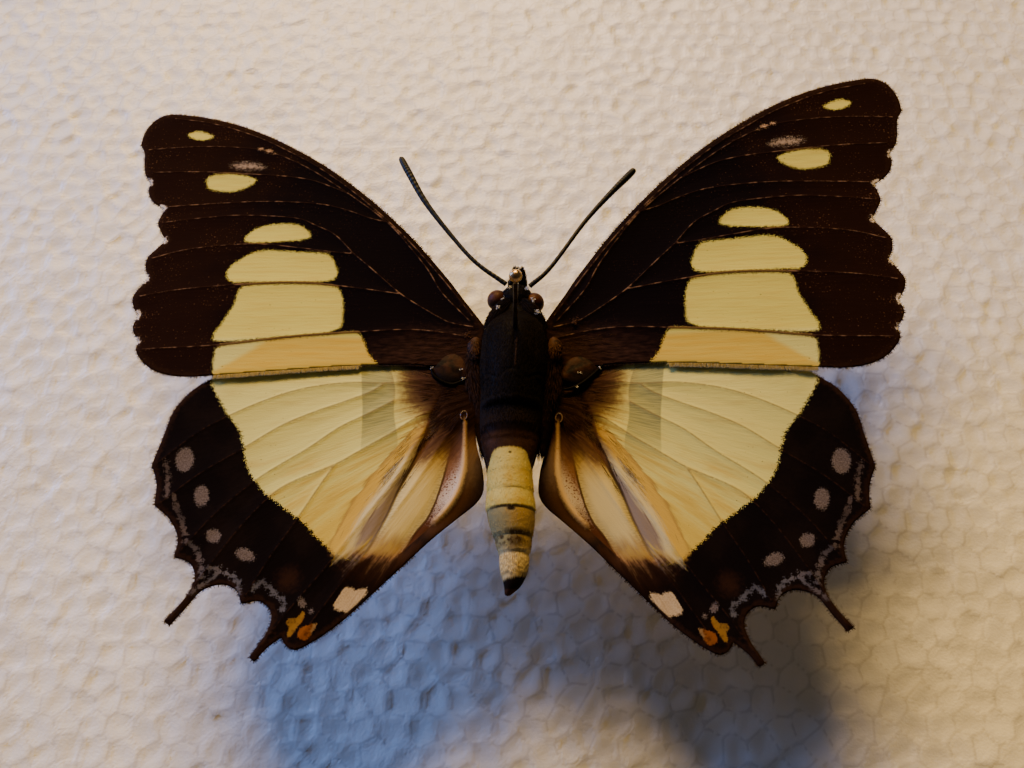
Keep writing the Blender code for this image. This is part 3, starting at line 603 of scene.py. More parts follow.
def wing_spot(flat, loop):
    """Chart places of a wing's upper face, in the chart's lower left quarter."""
    return (flat - loop.min(0)) / (np.ptp(loop, axis=0).max() * 1.04) * 0.48 + 0.01


def wing(name, kind, side, finish, marks_of):
    """A wing as a closed thin sheet: grid of (u, v) inside the outline, raised to its height, with
    half the thickness and half of each vein's rib added above and taken away below."""
    runs, veins = WINGS[kind]
    loop = wing_loop(runs)
    flat, tris = sheet_of(loop, STEP, veins)
    near, _ = vein_nearest(flat, veins)
    mid = wing_height(kind, flat, near)
    reach = np.hypot(flat[:, 0], flat[:, 1])
    rib = (0.12 - 0.0016 * reach) * bell(near, 0.0, 0.26 - 0.003 * reach)
    edge = np.maximum(depth_in(flat, loop), 0.0)
    half = MEMBRANE / 2 * (RIM_SHARE + (1 - RIM_SHARE) * np.minimum(edge / RIM_WAY, 1.0)) + rib
    root, along, fore, up = wing_axes(kind, side)
    count = len(flat)
    verts = np.vstack([root + flat[:, :1] * along + flat[:, 1:] * fore + (mid + face * half)[:, None] * up
                       for face in (1, -1)])
    pairs = np.vstack((tris[:, (0, 1)], tris[:, (1, 2)], tris[:, (2, 0)]))
    key = np.sort(pairs, axis=1) @ np.array((count, 1))
    _, first, times = np.unique(key, return_index=True, return_counts=True)
    border = pairs[first[times == 1]]
    a, b = border.T
    faces = np.vstack((tris, tris[:, ::-1] + count,
                       np.stack((b, a, a + count), 1), np.stack((b, a + count, b + count), 1)))
    if side < 0:
        faces = faces[:, ::-1]
    marks = marks_of(flat)
    marks.update(u=flat[:, 0], v=flat[:, 1], edge=edge, vein=near)
    marks = {key: np.concatenate((value, value)) for key, value in marks.items()}
    marks["under"] = np.repeat((0.0, 1.0), count)
    chart = wing_spot(flat, loop)
    return piece(name, world(verts), faces, finish, (name,), marks, np.vstack((chart, chart + 0.5)))


def depths(flat, **areas):
    """By name, the greatest depth inside any of an area's closed lines."""
    return {name: np.max([depth_in(flat, smooth_loop(loop, 5)) for loop in loops], axis=0)
            for name, loops in areas.items()}


def in_discs(flat, discs, wide=1.0):
    """The greatest depth inside any disc of u, v, radius, each as much longer in u as wide says."""
    return np.max([r - np.hypot((flat[:, 0] - u) / wide, flat[:, 1] - v) for u, v, r in discs], axis=0)


def forewing_marks(flat):
    """Depths in millimetres inside each of the forewing's markings; negative outside."""
    marks = depths(flat, cream=FORE_CREAM, dash=(FORE_DASH,))
    marks.update(notch=in_discs(flat, FORE_NOTCHES), dot=in_discs(flat, FORE_DOTS, 1.5))
    return marks


def hindwing_marks(flat):
    """Depths in millimetres inside each of the hindwing's markings, negative outside, and the
    distances from its lines."""
    grey = []
    for u, v, long, wide, turn in HIND_GREY:
        c, s = math.cos(math.radians(turn)), math.sin(math.radians(turn))
        x, y = flat[:, 0] - u, flat[:, 1] - v
        grey.append((1 - np.hypot((c * x + s * y) / long, (c * y - s * x) / wide)) * wide)
    marks = depths(flat, cream=(HIND_CREAM,), pale=(HIND_PALE,), sun=HIND_SUN, strip=(HIND_STRIP,),
                   base=(HIND_BASE,), brown=(HIND_BROWN,))
    marks.update(grey=np.max(grey, axis=0), smudge=in_discs(flat, (HIND_SMUDGE,)),
                 moon=np.min([nearest(flat, smooth_line(line, 4))[0] for line in HIND_LUNULES], axis=0))
    marks.update(groove=beside(flat, HIND_GROOVE), seam=beside(flat, HIND_SEAM),
                 ridge=beside(flat, HIND_RIDGE), gold=beside(flat, HIND_GOLD))
    return marks


# Colours of the wings, as the light they stand for
CREAM = (0.64, 0.6, 0.135)
PALE = (0.64, 0.62, 0.2)
AMBER = (0.6, 0.455, 0.08)
SOOT = (0.0044, 0.0027, 0.0036)
UMBER = (0.017, 0.0072, 0.0036)
COPPER = (0.13, 0.062, 0.03)


def wing_signals(finish):
    """What both wings' finishes start from: places across the wing and scale-sized random values."""
    u, v, under = finish.mark("u"), finish.mark("v"), finish.mark("under")
    spot = finish.vector(u, v, under * 60.0)
    fine = finish.noise(spot, 7.0, 2.0) - 0.5
    grain = finish.noise(spot, 2.3, 3.0) - 0.5
    broad = finish.noise(spot, 0.22, 2.0) - 0.5
    return u, v, under, spot, fine, grain, broad


def scaly_relief(finish, spot, fine, lines):
    """Relief of the wing: rows of scales, and the softer lines over them."""
    rows = finish.noise(finish.node("ShaderNodeVectorMath", {"operation": "MULTIPLY"},
                                    {0: spot, 1: (2.2, 11.0, 1.0)}), 1.0, 2.0)
    under = finish.bump(fine + rows * 0.7, 0.35, 0.00004)
    return finish.bump(lines, 0.5, 0.0001, under)


def forewing_finish():
    """Black-brown forewing with cream patches, coppery veins with painted glints, and scattered coppery
    scales.
    """
    fin = Finish("forewing_scales", Specular_IOR_Level=0.004)
    u, v, under, spot, fine, grain, broad = wing_signals(fin)
    vein, edge = fin.mark("vein"), fin.mark("edge")
    along = fin.noise(fin.vector(u * 0.22, v * 2.6, under), 1.0, 3.0) - 0.5
    # dark ground: browner towards the tip and rim, coppery scales, brown root, veins with painted glints
    ground = fin.mix((u + broad * 16.0).ramp(20.0, 35.0), SOOT, (0.0125, 0.005, 0.003))
    ground = fin.mix((0.9 - edge + grain * 1.5).ramp(0.0, 0.7) * 0.5, ground, (0.026, 0.012, 0.006))
    stray = (fin.noise(spot, 4.6, 2.0) + broad * 0.25 + along * 0.2).ramp(0.655, 0.76)
    ground = fin.mix(stray * (u.ramp(10.0, 34.0) * 0.75 + 0.12), ground, COPPER)
    root = (u + grain * 7.0 + v * 0.6).fall(5.0, 14.0) * (grain * 3.0 - v).ramp(-0.6, 3.4)
    brown = fin.mix(fin.noise(fin.vector(u * 0.7, v * 3.2), 1.0, 3.0).ramp(0.25, 0.85),
                    (0.008, 0.004, 0.0034), (0.044, 0.02, 0.014))
    ground = fin.mix(root, ground, brown)
    hair = (vein + fine * 0.03).fall(0.02, 0.11)
    # the veins' copper turns lighter in noisy spots: painted glints along the veins
    shine = fin.noise(fin.vector(u * 0.9, v * 0.9), 1.0, 3.0).ramp(0.42, 0.68)
    copper = fin.mix(shine, (0.028, 0.012, 0.0075), (0.2, 0.115, 0.07))
    ground = fin.mix(hair * (0.45 + shine * 0.5), ground, copper)
    # cream patches: streaked, more yellow in the rear ones, dark specks and veins, ragged rims
    streak = along.ramp(-0.1, 0.18)
    cream = fin.mix(streak, CREAM, (0.61, 0.535, 0.115))
    wedge = (u - 20.7 + v * 1.4 + along * 2.0).fall(-0.7, 0.7) * v.fall(-2.3, -1.7)
    cream = fin.mix(v.ramp(-2.3, -1.7), PALE, cream)
    cream = fin.mix(wedge, cream, fin.mix(streak, (0.62, 0.47, 0.085), (0.61, 0.42, 0.06)))
    cream = fin.mix((fin.noise(spot, 3.1, 2.0) + grain * 0.15).ramp(0.745, 0.765), cream, UMBER)
    thin = (vein + fine * 0.05).fall(0.03, 0.12) * 0.75
    cream = fin.mix(thin, cream, (0.1, 0.065, 0.025))
    dusty = fin.noise(spot, 9.0, 1.0) - 0.5
    ragged = fin.mark("cream") + dusty * 1.2 + fine * 0.3 + grain * 0.45 - 0.03
    colour = fin.mix(ragged.ramp(-0.05, 0.05), ground, cream)
    bridge = (fin.mark("cream") + 0.3 + grain * 0.3).ramp(0.0, 0.1) * vein.fall(0.1, 0.28)
    colour = fin.mix(bridge * 0.8, colour, (0.125, 0.075, 0.026))
    # white notches, greyish dash and dots
    white = (fin.mark("notch") + grain * 1.2 + fine * 0.9).ramp(0.0, 0.25)
    white = white * (0.5 - edge + fine * 0.5).ramp(0.0, 0.25)
    colour = fin.mix(white, colour, (0.66, 0.58, 0.5))
    dash = (fin.mark("dash") + grain * 1.6 + fine * 2.4).ramp(0.0, 0.9)
    colour = fin.mix(dash * 0.75, colour, (0.4, 0.31, 0.23))
    dots = (fin.mark("dot") + fine * 1.2).ramp(0.0, 0.25)
    colour = fin.mix(dots, colour, (0.42, 0.27, 0.16))
    # underside
    back = fin.mix((grain + along).ramp(-0.2, 0.3), (0.075, 0.04, 0.02), (0.3, 0.24, 0.17))
    ring = (fin.mark("cream") + 1.1).size().fall(0.25, 0.5)
    back = fin.mix(ring * 0.8, back, (0.012, 0.007, 0.005))
    back = fin.mix((fin.mark("cream") + 0.25 + grain * 0.4).ramp(-0.1, 0.2), back, (0.7, 0.67, 0.55))
    fin.set("Base_Color", fin.mix(under.ramp(0.4, 0.6), colour, back))
    fin.set("Roughness", 0.62 - hair * 0.22 - root * 0.15)
    fin.set("Normal", scaly_relief(fin, spot, fine, along * 0.6 + hair * 0.5))
    return fin


def hindwing_finish():
    """Cream hindwing with a black border of grey marks, brown hairy base and folded inner margin."""
    fin = Finish("hindwing_scales", Specular_IOR_Level=0.004)
    u, v, under, spot, fine, grain, broad = wing_signals(fin)
    vein, edge = fin.mark("vein"), fin.mark("edge")
    turn = fin.node("ShaderNodeMath", {"operation": "ARCTAN2"}, {0: v + 0.5, 1: u + 2.0})
    reach = fin.length(u + 2.0, v + 0.5)
    rays = fin.noise(fin.vector(turn * 26.0, reach * 0.16), 1.0, 4.0, 0.6) - 0.5
    combed = fin.noise(fin.vector(turn * 90.0, reach * 0.35), 1.0, 2.0) - 0.5
    # dark border: browner rim, smudge, grey spots, lunules and border threads
    ground = fin.mix((broad + grain * 0.3).ramp(-0.1, 0.2),
                     (0.005, 0.0033, 0.0034), (0.008, 0.005, 0.0044))
    ground = fin.mix((0.75 - edge + grain * 1.2).ramp(0.0, 0.6) * 0.7, ground, (0.024, 0.011, 0.0065))
    smudge = (fin.mark("smudge") + grain * 1.5 + rays).ramp(-0.2, 1.6)
    ground = fin.mix(smudge * 0.45, ground, (0.042, 0.017, 0.009))
    grey = (fin.mark("grey") + fine * 0.75 + grain * 0.35).ramp(-0.1, 0.14)
    ash = fin.mix(fine.ramp(-0.2, 0.2), (0.075, 0.058, 0.052), (0.15, 0.125, 0.12))
    ground = fin.mix(grey, ground, ash)
    moon = (0.3 - fin.mark("moon") + fine * 0.9 + grain * 1.4).ramp(-0.04, 0.26)
    pearl = fin.mix((u + broad * 12.0).ramp(24.0, 30.0), (0.16, 0.165, 0.205), (0.15, 0.115, 0.105))
    ground = fin.mix(moon * (0.45 + broad * 1.4), ground, pearl)
    thread = (vein + fine * 0.05).fall(0.03, 0.1) * (grain + 0.12).ramp(0.0, 0.3)
    ground = fin.mix(thread * 0.8, ground, (0.03, 0.0135, 0.008))
    # cream field: warm rays, olive strip, veins and dark specks, ragged rim
    warm = (rays * 1.2 - v * 0.05 - (u - 14.0) * 0.03).ramp(0.25, 0.85)
    cream = fin.mix(warm, PALE, AMBER)
    cream = fin.mix(rays.ramp(-0.05, 0.22) * 0.35, cream, (0.46, 0.36, 0.105))
    strip = fin.mark("strip").ramp(-0.1, 0.1) * (-v).fall(3.5, 9.5)
    olive = fin.mix((combed + rays * 0.5).ramp(-0.16, 0.12), (0.2, 0.215, 0.105), (0.35, 0.345, 0.14))
    cream = fin.mix(strip * 0.85, cream, olive)
    thin = (vein + fine * 0.04).fall(0.03, 0.15) * (0.55 + grain * 0.8)
    cream = fin.mix(thin, cream, (0.2, 0.15, 0.065))
    cream = fin.mix((fin.noise(spot, 3.1, 2.0) + grain * 0.15).ramp(0.745, 0.76), cream, UMBER)
    dusty = fin.noise(spot, 9.0, 1.0) - 0.5
    ragged = fin.mark("cream") + dusty * 1.1 + fine * 0.4 + grain * 0.6 + combed * 0.5 - 0.05
    colour = fin.mix(ragged.ramp(-0.06, 0.06), ground, cream)
    # brown rear margin, and the two-coloured eyespot beside the tail
    depth = fin.mark("brown") + rays * 1.6 + combed * 0.9 + grain * 0.5
    tan = fin.mix(depth.ramp(-0.4, 0.9), (0.16, 0.075, 0.034), (0.022, 0.0095, 0.005))
    low = (u - v * 0.35 + grain * 3.0).fall(18.5, 21.5) * depth.ramp(-0.9, 0.5)
    tan = fin.mix((depth + rays * 3.0).ramp(0.8, 3.4), tan, (0.0085, 0.0042, 0.0028))
    colour = fin.mix(low, colour, tan)
    sun = (fin.mark("sun") + fine * 0.35 + grain * 0.25).ramp(-0.04, 0.08)
    ember = fin.mix((u + grain).ramp(15.2, 15.6), (0.22, 0.13, 0.05), (0.19, 0.06, 0.008))
    ember = fin.mix((u + v * 0.47 + 12.08).ramp(16.5, 16.7), ember, (0.225, 0.118, 0.022))
    colour = fin.mix(sun * (1.0 - (grain + rays).ramp(0.0, 0.3) * 0.6), colour, ember)
    # hair bundle by its distance from the gold line, with a painted shadow of the hair along its outer edge
    fold, seam, ridge, core = (fin.mark(name) for name in ("groove", "seam", "ridge", "base"))
    down = -v
    inner = (down + grain * 1.5 + rays * 6.0 + combed * 3.0).fall(16.6, 20.2)
    gold = fin.mark("gold")
    fibre = fin.noise(fin.vector(gold * 5.5, down * 0.22), 1.0, 4.0, 0.7)
    gold = gold + (fibre - 0.5) * 0.9 + rays * 1.2
    # dark golden brown at the outer edge of the gold hair: a painted shadow cast by the hair onto the wing
    hairy = fin.mix(gold.ramp(-1.15, -0.55), (0.3, 0.195, 0.055), (0.56, 0.38, 0.075))
    hairy = fin.mix(gold.ramp(0.2, 0.85), hairy, (0.58, 0.51, 0.27))
    hairy = fin.mix(gold.ramp(0.95, 1.75), hairy, (0.24, 0.19, 0.145))
    hairy = fin.mix(fibre.ramp(0.56, 0.7) * 0.6, hairy, (0.15, 0.1, 0.055))
    bundle = gold.ramp(-1.2, -0.9) * (fold + grain * 0.3).fall(-0.05, 0.1) * inner
    colour = fin.mix(bundle * (down + grain * 2.0).ramp(3.4, 5.2), colour, hairy)
    # pale panel between the groove and the seam, and the groove itself
    panel = (fold + fine * 0.2).ramp(-0.02, 0.12) * (seam + grain * 0.2).fall(-0.05, 0.1) * inner
    plush = fin.mix((down + rays * 5.0).ramp(7.0, 12.0), (0.52, 0.385, 0.11), (0.62, 0.52, 0.22))
    ribs = fin.noise(fin.vector(u * 1.9, v * 9.0), 1.0, 2.0)
    rims = (fold.fall(0.1, 1.1) + seam.ramp(-1.1, -0.1)).least(1.0)
    plush = fin.mix(rims * (0.22 + ribs.ramp(0.36, 0.68) * 0.45), plush, (0.15, 0.12, 0.06))
    plush = fin.mix((down + rays * 5.0).ramp(15.6, 18.6), plush, (0.25, 0.14, 0.062))
    colour = fin.mix(panel, colour, plush)
    crease = (fold.size() + fibre * 0.16 - down.fall(4.5, 11.0) * 0.35).fall(0.12, 0.34) * inner
    colour = fin.mix(crease * (1.0 - down.ramp(8.0, 20.0) * 0.55), colour, (0.026, 0.013, 0.0065))
    # mealy strip between seam and ridge, and the dark inner margin past the ridge
    flour = fin.noise(spot, 5.0, 2.0)
    pepper = fin.mix((flour + (ridge + 1.6).ramp(0.0, 1.6) * 0.08).ramp(0.36, 0.48),
                     (0.12, 0.05, 0.022), (0.5, 0.42, 0.34))
    pepper = fin.mix((down + flour * 6.0).ramp(15.0, 18.5), pepper, (0.065, 0.024, 0.01))
    pepper = fin.mix((down + flour * 4.0 + ridge * 2.2).fall(7.4, 12.5), pepper, (0.145, 0.062, 0.034))
    speck = (seam + grain * 0.15).ramp(-0.02, 0.08) * inner
    colour = fin.mix(speck, colour, pepper)
    stitch = (seam.size() + grain * 0.1).fall(0.05, 0.17) * down.fall(16.5, 18.0)
    colour = fin.mix(stitch * 0.9, colour, (0.04, 0.014, 0.007))
    margin = fin.mix((down + grain * 2.0).ramp(9.0, 12.5), (0.12, 0.078, 0.056), (0.058, 0.026, 0.013))
    margin = fin.mix((ridge + grain * 0.5).ramp(0.3, 2.3), margin, (0.013, 0.008, 0.0065))
    colour = fin.mix((ridge + grain * 0.25).ramp(0.1, 0.35) * inner, colour, margin)
    # rusty and brown hair round the root
    blush = (core + rays * 2.0 + combed + grain).ramp(-2.5, 0.6)
    rust = fin.mix(blush, (0.24, 0.135, 0.05), (0.115, 0.05, 0.022))
    colour = fin.mix(blush * 0.9, colour, rust)
    brown = fin.mix(combed.ramp(-0.22, 0.25), (0.007, 0.0034, 0.0022), (0.022, 0.0095, 0.0048))
    outer = fin.mix(combed.ramp(-0.25, 0.3), (0.024, 0.011, 0.008), (0.078, 0.037, 0.022))
    brown = fin.mix((reach + grain * 3.0).ramp(5.0, 8.8), brown, outer)
    colour = fin.mix((core + rays * 1.6 + combed + grain).ramp(-1.2, 1.7), colour, brown)
    # pale crest of the ridge, and the pale patch at the rear corner
    crest = (ridge.size() * (1.5 - down.ramp(5.0, 9.0) * 0.5) + grain * 0.3 + fine * 0.25).fall(0.05, 0.52)
    crest = crest * down.ramp(3.3, 4.1) * (down + grain).fall(13.8, 16.0)
    comb = fin.mix((down + grain * 5.0 + fine * 5.0).ramp(4.6, 9.0),
                   (0.26, 0.15, 0.06), (0.54, 0.38, 0.2))
    colour = fin.mix(crest, colour, comb)
    light = (fin.mark("pale") + grain * 0.4 + fine * 0.5 + rays * 1.4 + combed * 0.5).ramp(-0.1, 0.22)
    light = light * (edge + fine * 0.2).ramp(0.22, 0.42)
    sand = fin.mix((combed + fine).ramp(-0.2, 0.2), (0.4, 0.3, 0.17), (0.52, 0.41, 0.25))
    colour = fin.mix(light, colour, sand)
    # underside
    back = fin.mix((grain + rays).ramp(-0.2, 0.3), (0.085, 0.045, 0.022), (0.33, 0.27, 0.19))
    back = fin.mix((fin.mark("cream") - 2.5 + grain * 0.4).ramp(-0.1, 0.2), back, (0.7, 0.67, 0.55))
    ring = (fin.mark("cream") - 2.2).size().fall(0.2, 0.45)
    back = fin.mix(ring * 0.8, back, (0.012, 0.007, 0.005))
    fin.set("Base_Color", fin.mix(under.ramp(0.4, 0.6), colour, back))
    fin.set("Roughness", 0.62 - thread * 0.15)
    fin.set("Normal", scaly_relief(fin, spot, fine, rays * 0.9 + combed * 0.4))
    return fin


FOREWING = forewing_finish()
HINDWING = hindwing_finish()
for side, word in SIDES:
    wing("forewing_" + word, "fore", side, FOREWING, forewing_marks)
    wing("hindwing_" + word, "hind", side, HINDWING, hindwing_marks)


def place_tube(path, radii, sides):
    """Rings of points round a path. Each ring is a circle across the path, turned as little as
    possible from the one before: its first direction is the last one less its part along the path."""
    path = np.asarray(path, float)
    radii = np.broadcast_to(np.asarray(radii, float), len(path))
    along = np.gradient(path, axis=0)
    along /= np.linalg.norm(along, axis=1)[:, None]
    first = np.empty_like(path)
    guess = np.array((0.0, 0.0, 1.0))
    for k, direction in enumerate(along):
        guess = guess - direction * (guess @ direction)
        guess /= np.linalg.norm(guess)
        first[k] = guess
    second = np.cross(along, first)
    turn = (TAU * np.arange(sides) / sides)[None, :, None]
    ring = np.cos(turn) * first[:, None] + np.sin(turn) * second[:, None]
    return path[:, None] + radii[:, None, None] * ring


def closed_rings(rings):
    """Points and triangles of a body through rings, each end closed to a middle point."""
    rows, columns, _ = rings.shape
    verts = np.vstack((rings.reshape(-1, 3), rings[0].mean(0), rings[-1].mean(0)))
    quads = grid_faces(rows, columns, True)
    j = np.arange(columns)
    k = (j + 1) % columns
    first = np.stack((np.full(columns, rows * columns), k, j), 1)
    last = (rows - 1) * columns
    end = np.stack((np.full(columns, rows * columns + 1), last + j, last + k), 1)
    return verts, np.vstack((quads[:, (0, 1, 2)], quads[:, (0, 2, 3)], first, end))


def ring_spot(across, along):
    """Chart places at shares of a ringed body's way round and of its length."""
    return 0.02 + 0.94 * np.stack((across, along), -1)


def ring_chart(rows, columns):
    """Chart of a ringed body: once round across, its length up, with the two ends' middles added."""
    i, j = np.meshgrid(np.arange(rows) / (rows - 1), np.arange(columns) / columns, indexing="ij")
    return np.vstack((ring_spot(j, i).reshape(-1, 2), (0.5, 0.01), (0.5, 0.97)))


def outward(verts, faces):
    """The faces turned so that the closed body they make has its volume counted as positive."""
    a, b, c = (verts[faces[:, k]] for k in range(3))
    return faces if np.einsum("ij,ij->i", a, np.cross(b, c)).sum() > 0 else faces[:, ::-1]


def tube_piece(name, path, radii, finish, replaces, sides):
    """A closed tube along a path of the specimen's frame, as a finished piece."""
    verts, faces = closed_rings(place_tube(path, radii, sides))
    share = np.append(np.repeat(np.linspace(0, 1, len(path)), sides), (0.0, 1.0))
    return piece(name, world(verts), outward(verts, faces), finish, replaces,
                 {"share": share, "out": np.zeros(len(share))}, ring_chart(len(path), sides))


def head_turned(points):
    """Points of the head before its turn, turned about its middle."""
    p = np.array(points, float)
    c, s = math.cos(HEAD_TURN), math.sin(HEAD_TURN)
    x, y = p[..., 0] - HEAD_PIVOT[0], p[..., 1] - HEAD_PIVOT[1]
    p[..., 0] = HEAD_PIVOT[0] + c * x - s * y
    p[..., 1] = HEAD_PIVOT[1] + s * x + c * y
    return p


def body_rows():
    """Stations of the body, smoothed between those of the table."""
    rows = smooth_line(BODY, 14)
    keep = np.concatenate(([True], np.diff(rows[:, 0]) < -1e-4))
    return rows[keep]


RINGS = (-17.95, -20.1, -22.05, -24.65, -26.4, -28.35)
RING_STEPS = (0.02, 0.03, 0.07, 0.09, 0.06, 0.03)


def body_relief(y, across, top):
    """How far the skin stands off its ovals: grooves between the back's plates, and on the abdomen
    each ring's rear rim over the front of the next."""
    lift = -0.07 * bell(across, 0.0, 0.03) * bell(y, -4.3, 2.6) * (top > 0)
    arcs = 0.9 * bell(across, 0.45, 0.22) + 0.9 * bell(across, -0.45, 0.22)
    lift -= 0.05 * bell(y + 7.5 + arcs, 0.0, 0.22) * (top > 0.25)
    lift += 0.07 * bell(y, -9.4, 1.3) * bell(across, 0.0, 0.45) * (top > 0)
    lift -= 0.05 * bell(y - 0.7 + 1.6 * across ** 2, 0.0, 0.16) * (top > 0)
    lift -= 0.12 * bell(y, 1.45, 0.14)
    lift -= 0.07 * bell(np.abs(across), 0.62, 0.05) * bell(y, -5.0, 2.2) * (top > 0)
    lift -= 0.05 * bell(y, -14.75, 0.3)
    for edge, after, step in zip(RINGS, RINGS[1:] + (-30.0,), RING_STEPS):
        behind = edge - y
        lift += np.where(behind < 0, step * np.exp(behind / 0.9), -step * np.exp(-behind / 0.5))
        lift += 0.8 * step * np.sin(np.pi * np.clip(behind / (edge - after), 0.0, 1.0))
    lift -= 0.1 * bell(top, -0.15, 0.1) * (y < -15.5) * (y > -27.5)
    return lift


def body_spot(y, turn):
    """Points of the skin at stations y and turns round the body: the oval's half width times the
    cosine and half height times the sine of the turn, each with the relief added."""
    rows = body_rows()
    half, low, high, middle = (np.interp(-y, -rows[:, 0], rows[:, k]) for k in range(1, 5))
    across, top = np.cos(turn), np.sin(turn)
    lift = body_relief(y, across, top) * np.clip(half / 1.2, 0.0, 1.0)
    x = middle + across * (half + lift)
    z = (high + low) / 2 + top * ((high - low) / 2 + lift)
    return np.stack((x, np.broadcast_to(y, x.shape), z), -1)


def body_skin(finish):
    """One skin over head, collar, thorax and abdomen, ring by ring."""
    rows = body_rows()
    columns = 140
    turn = TAU * np.arange(columns) / columns
    y = rows[:, :1]
    rings = body_spot(y, turn)
    across, top = (np.broadcast_to(f(turn), rings.shape[:2]) for f in (np.cos, np.sin))
    verts, faces = closed_rings(rings)
    ends = (rows[0, 0], rows[-1, 0])
    marks = {"along": np.append(np.repeat(rows[:, 0], columns), ends),
             "across": np.append(across.ravel(), (0.0, 0.0)), "top": np.append(top.ravel(), (0.0, 0.0))}
    return piece("body_skin", world(verts), outward(verts, faces), finish,
                 ("head", "prothorax", "thorax", "abdomen"), marks,
                 ring_chart(len(rows), columns))


def body_finish(name, fur=False):
    """Black head and thorax, brown first ring, cream and greenish abdomen with dark ring lines; the
    fur's finish is the same with each hair's own tone and a paler end."""
    fin = Finish(name, Specular_IOR_Level=0.04)
    y, across, top = fin.mark("along"), fin.mark("across"), fin.mark("top")
    spot = fin.place()
    fine = fin.noise(spot, 6.0, 3.0) - 0.5
    grain = fin.noise(spot, 1.8, 3.0) - 0.5
    broad = fin.noise(spot, 0.45, 2.0) - 0.5
    hairs = fin.noise(fin.vector(across * 26.0, y * 0.8, top * 8.0), 1.0, 3.0) - 0.5
    # head and thorax, then the first ring of the abdomen
    black = fin.mix((broad + hairs * 0.6).ramp(-0.05, 0.25),
                    (0.0018, 0.0012, 0.0012), (0.0042, 0.0028, 0.0025))
    rear = (-y + hairs).ramp(10.8, 13.6)
    black = fin.mix(rear * 0.7, black, (0.009, 0.004, 0.0024))
    crescent = fin.mix((broad + hairs * 0.3).ramp(-0.2, 0.2),
                       (0.026, 0.0115, 0.0058), (0.05, 0.0225, 0.0105))
    skin = fin.mix((-y + hairs * 0.3).ramp(13.7, 14.4), black, crescent)
    # abdomen from front to tip, its ring lines and its dark spots
    yellow = fin.mix((broad * 1.6 + grain).ramp(-0.2, 0.4), (0.54, 0.46, 0.13), (0.5, 0.37, 0.075))
    sage = fin.mix((across + broad * 1.2 + grain * 0.5).ramp(-0.35, 0.45),
                   (0.255, 0.225, 0.1), (0.35, 0.24, 0.07))
    tan = fin.mix(hairs.ramp(0.02, 0.24), (0.56, 0.45, 0.21), (0.33, 0.19, 0.055))
    cream = fin.mix((-y + grain * 0.3).ramp(21.95, 22.15), yellow, sage)
    brindle = (grain * 1.6 + broad).ramp(-0.05, 0.25) * 0.6
    brindle = brindle + (across - 0.1 + grain).size().fall(0.15, 0.6) * 0.8
    brindle = fin.mix(brindle.least(1.0), sage, (0.052, 0.03, 0.012))
    cream = fin.mix((-y + grain * 1.2).ramp(24.2, 25.2), cream, brindle)
    cream = fin.mix((-y + grain * 0.8).ramp(25.6, 26.6), cream, tan)
    cream = fin.mix((-y + hairs + across * 0.2).ramp(28.65, 29.05), cream, (0.0075, 0.0045, 0.0035))
    cream = fin.mix((-y).ramp(29.9, 30.1), cream, (0.05, 0.02, 0.009))
    for place, width, middle, half, depth in ((20.08, 0.1, 0.15, 0.7, 0.5), (22.05, 0.14, 0.0, 1.5, 0.92),
                                              (24.5, 0.34, 0.25, 0.9, 0.85), (26.3, 0.3, 0.05, 0.7, 0.5)):
        line = (y + place + grain * 0.16).size().fall(width * 0.3, width * 1.5)
        near = (across - middle + broad).size().fall(half * 0.2, half)
        cream = fin.mix(line * near * depth, cream, (0.03, 0.018, 0.008))
    for place, middle, wide in ((25.0, -0.62, 0.16), (16.35, 0.02, 0.1)):
        dot = fin.length((across - middle) * 1.9, y + place, fine * 0.2)
        cream = fin.mix(dot.fall(wide * 0.8, wide * 1.8) * 0.85, cream, (0.02, 0.012, 0.007))
    blot = fin.length(across * 3.4, (y + 22.3) * 2.6, grain).fall(0.35, 0.85)
    cream = fin.mix(blot * top.ramp(0.0, 0.5), cream, (0.02, 0.012, 0.006))
    belly = top.fall(-0.55, 0.05)
    cream = fin.mix(belly * 0.5, cream, (0.4, 0.3, 0.15))
    # where the abdomen's cream starts, and the line along the thorax: its midline, painted tan, partly as a
    # painted highlight
    arch = (-y - 15.75 - across ** 4 * 2.2 + hairs * 0.35 + fine * 0.2).ramp(-0.15, 0.15)
    median = (across - 0.07).size().fall(0.012, 0.035) * (-y).ramp(3.6, 4.4) * (-y).fall(6.8, 7.6)
    skin = fin.mix(median * 0.8, skin, (0.045, 0.023, 0.011))
    skin = fin.mix(arch, skin, cream)
    if fur:
        tone, tip = fin.mark("tone"), fin.mark("tip")
        skin = fin.mix((tone * 0.5 + tip * 0.6) * (0.4 - arch * 0.1), skin,
                       fin.mix(arch, (0.016, 0.009, 0.006), (0.62, 0.5, 0.27)))
        fin.set("Roughness", 0.6 - tip * 0.1)
    else:
        fin.set("Roughness", 0.55 + arch * 0.15 + grain * 0.2)
        low = fin.bump(fine + hairs * (1.1 - arch * 0.9), 0.4, 0.00005)
        fin.set("Normal", fin.bump(grain, 0.25, 0.00014, low))
    fin.set("Base_Color", skin)
    return fin


def eye_piece(name, side, finish):
    """A compound eye: a ball a little taller than wide, with its pole facing outwards."""
    rows, columns = 48, 96
    slope = np.pi * (np.arange(1, rows) / rows)[:, None]
    turn = TAU * np.arange(columns)[None] / columns
    ball = np.stack(np.broadcast_arrays(side * np.cos(slope), np.sin(slope) * np.cos(turn),
                                        1.05 * np.sin(slope) * np.sin(turn)), -1)
    centre = head_turned((HEAD_PIVOT[0] + side * EYE_AT[0], EYE_AT[1], EYE_AT[2]))
    verts, faces = closed_rings(centre + EYE_R * ball)
    return piece(name, world(verts), outward(verts, faces), finish, (name,),
                 {"pole": np.append((side * ball[..., 0]).ravel(), (1.0, -1.0))},
                 ring_chart(rows - 1, columns))


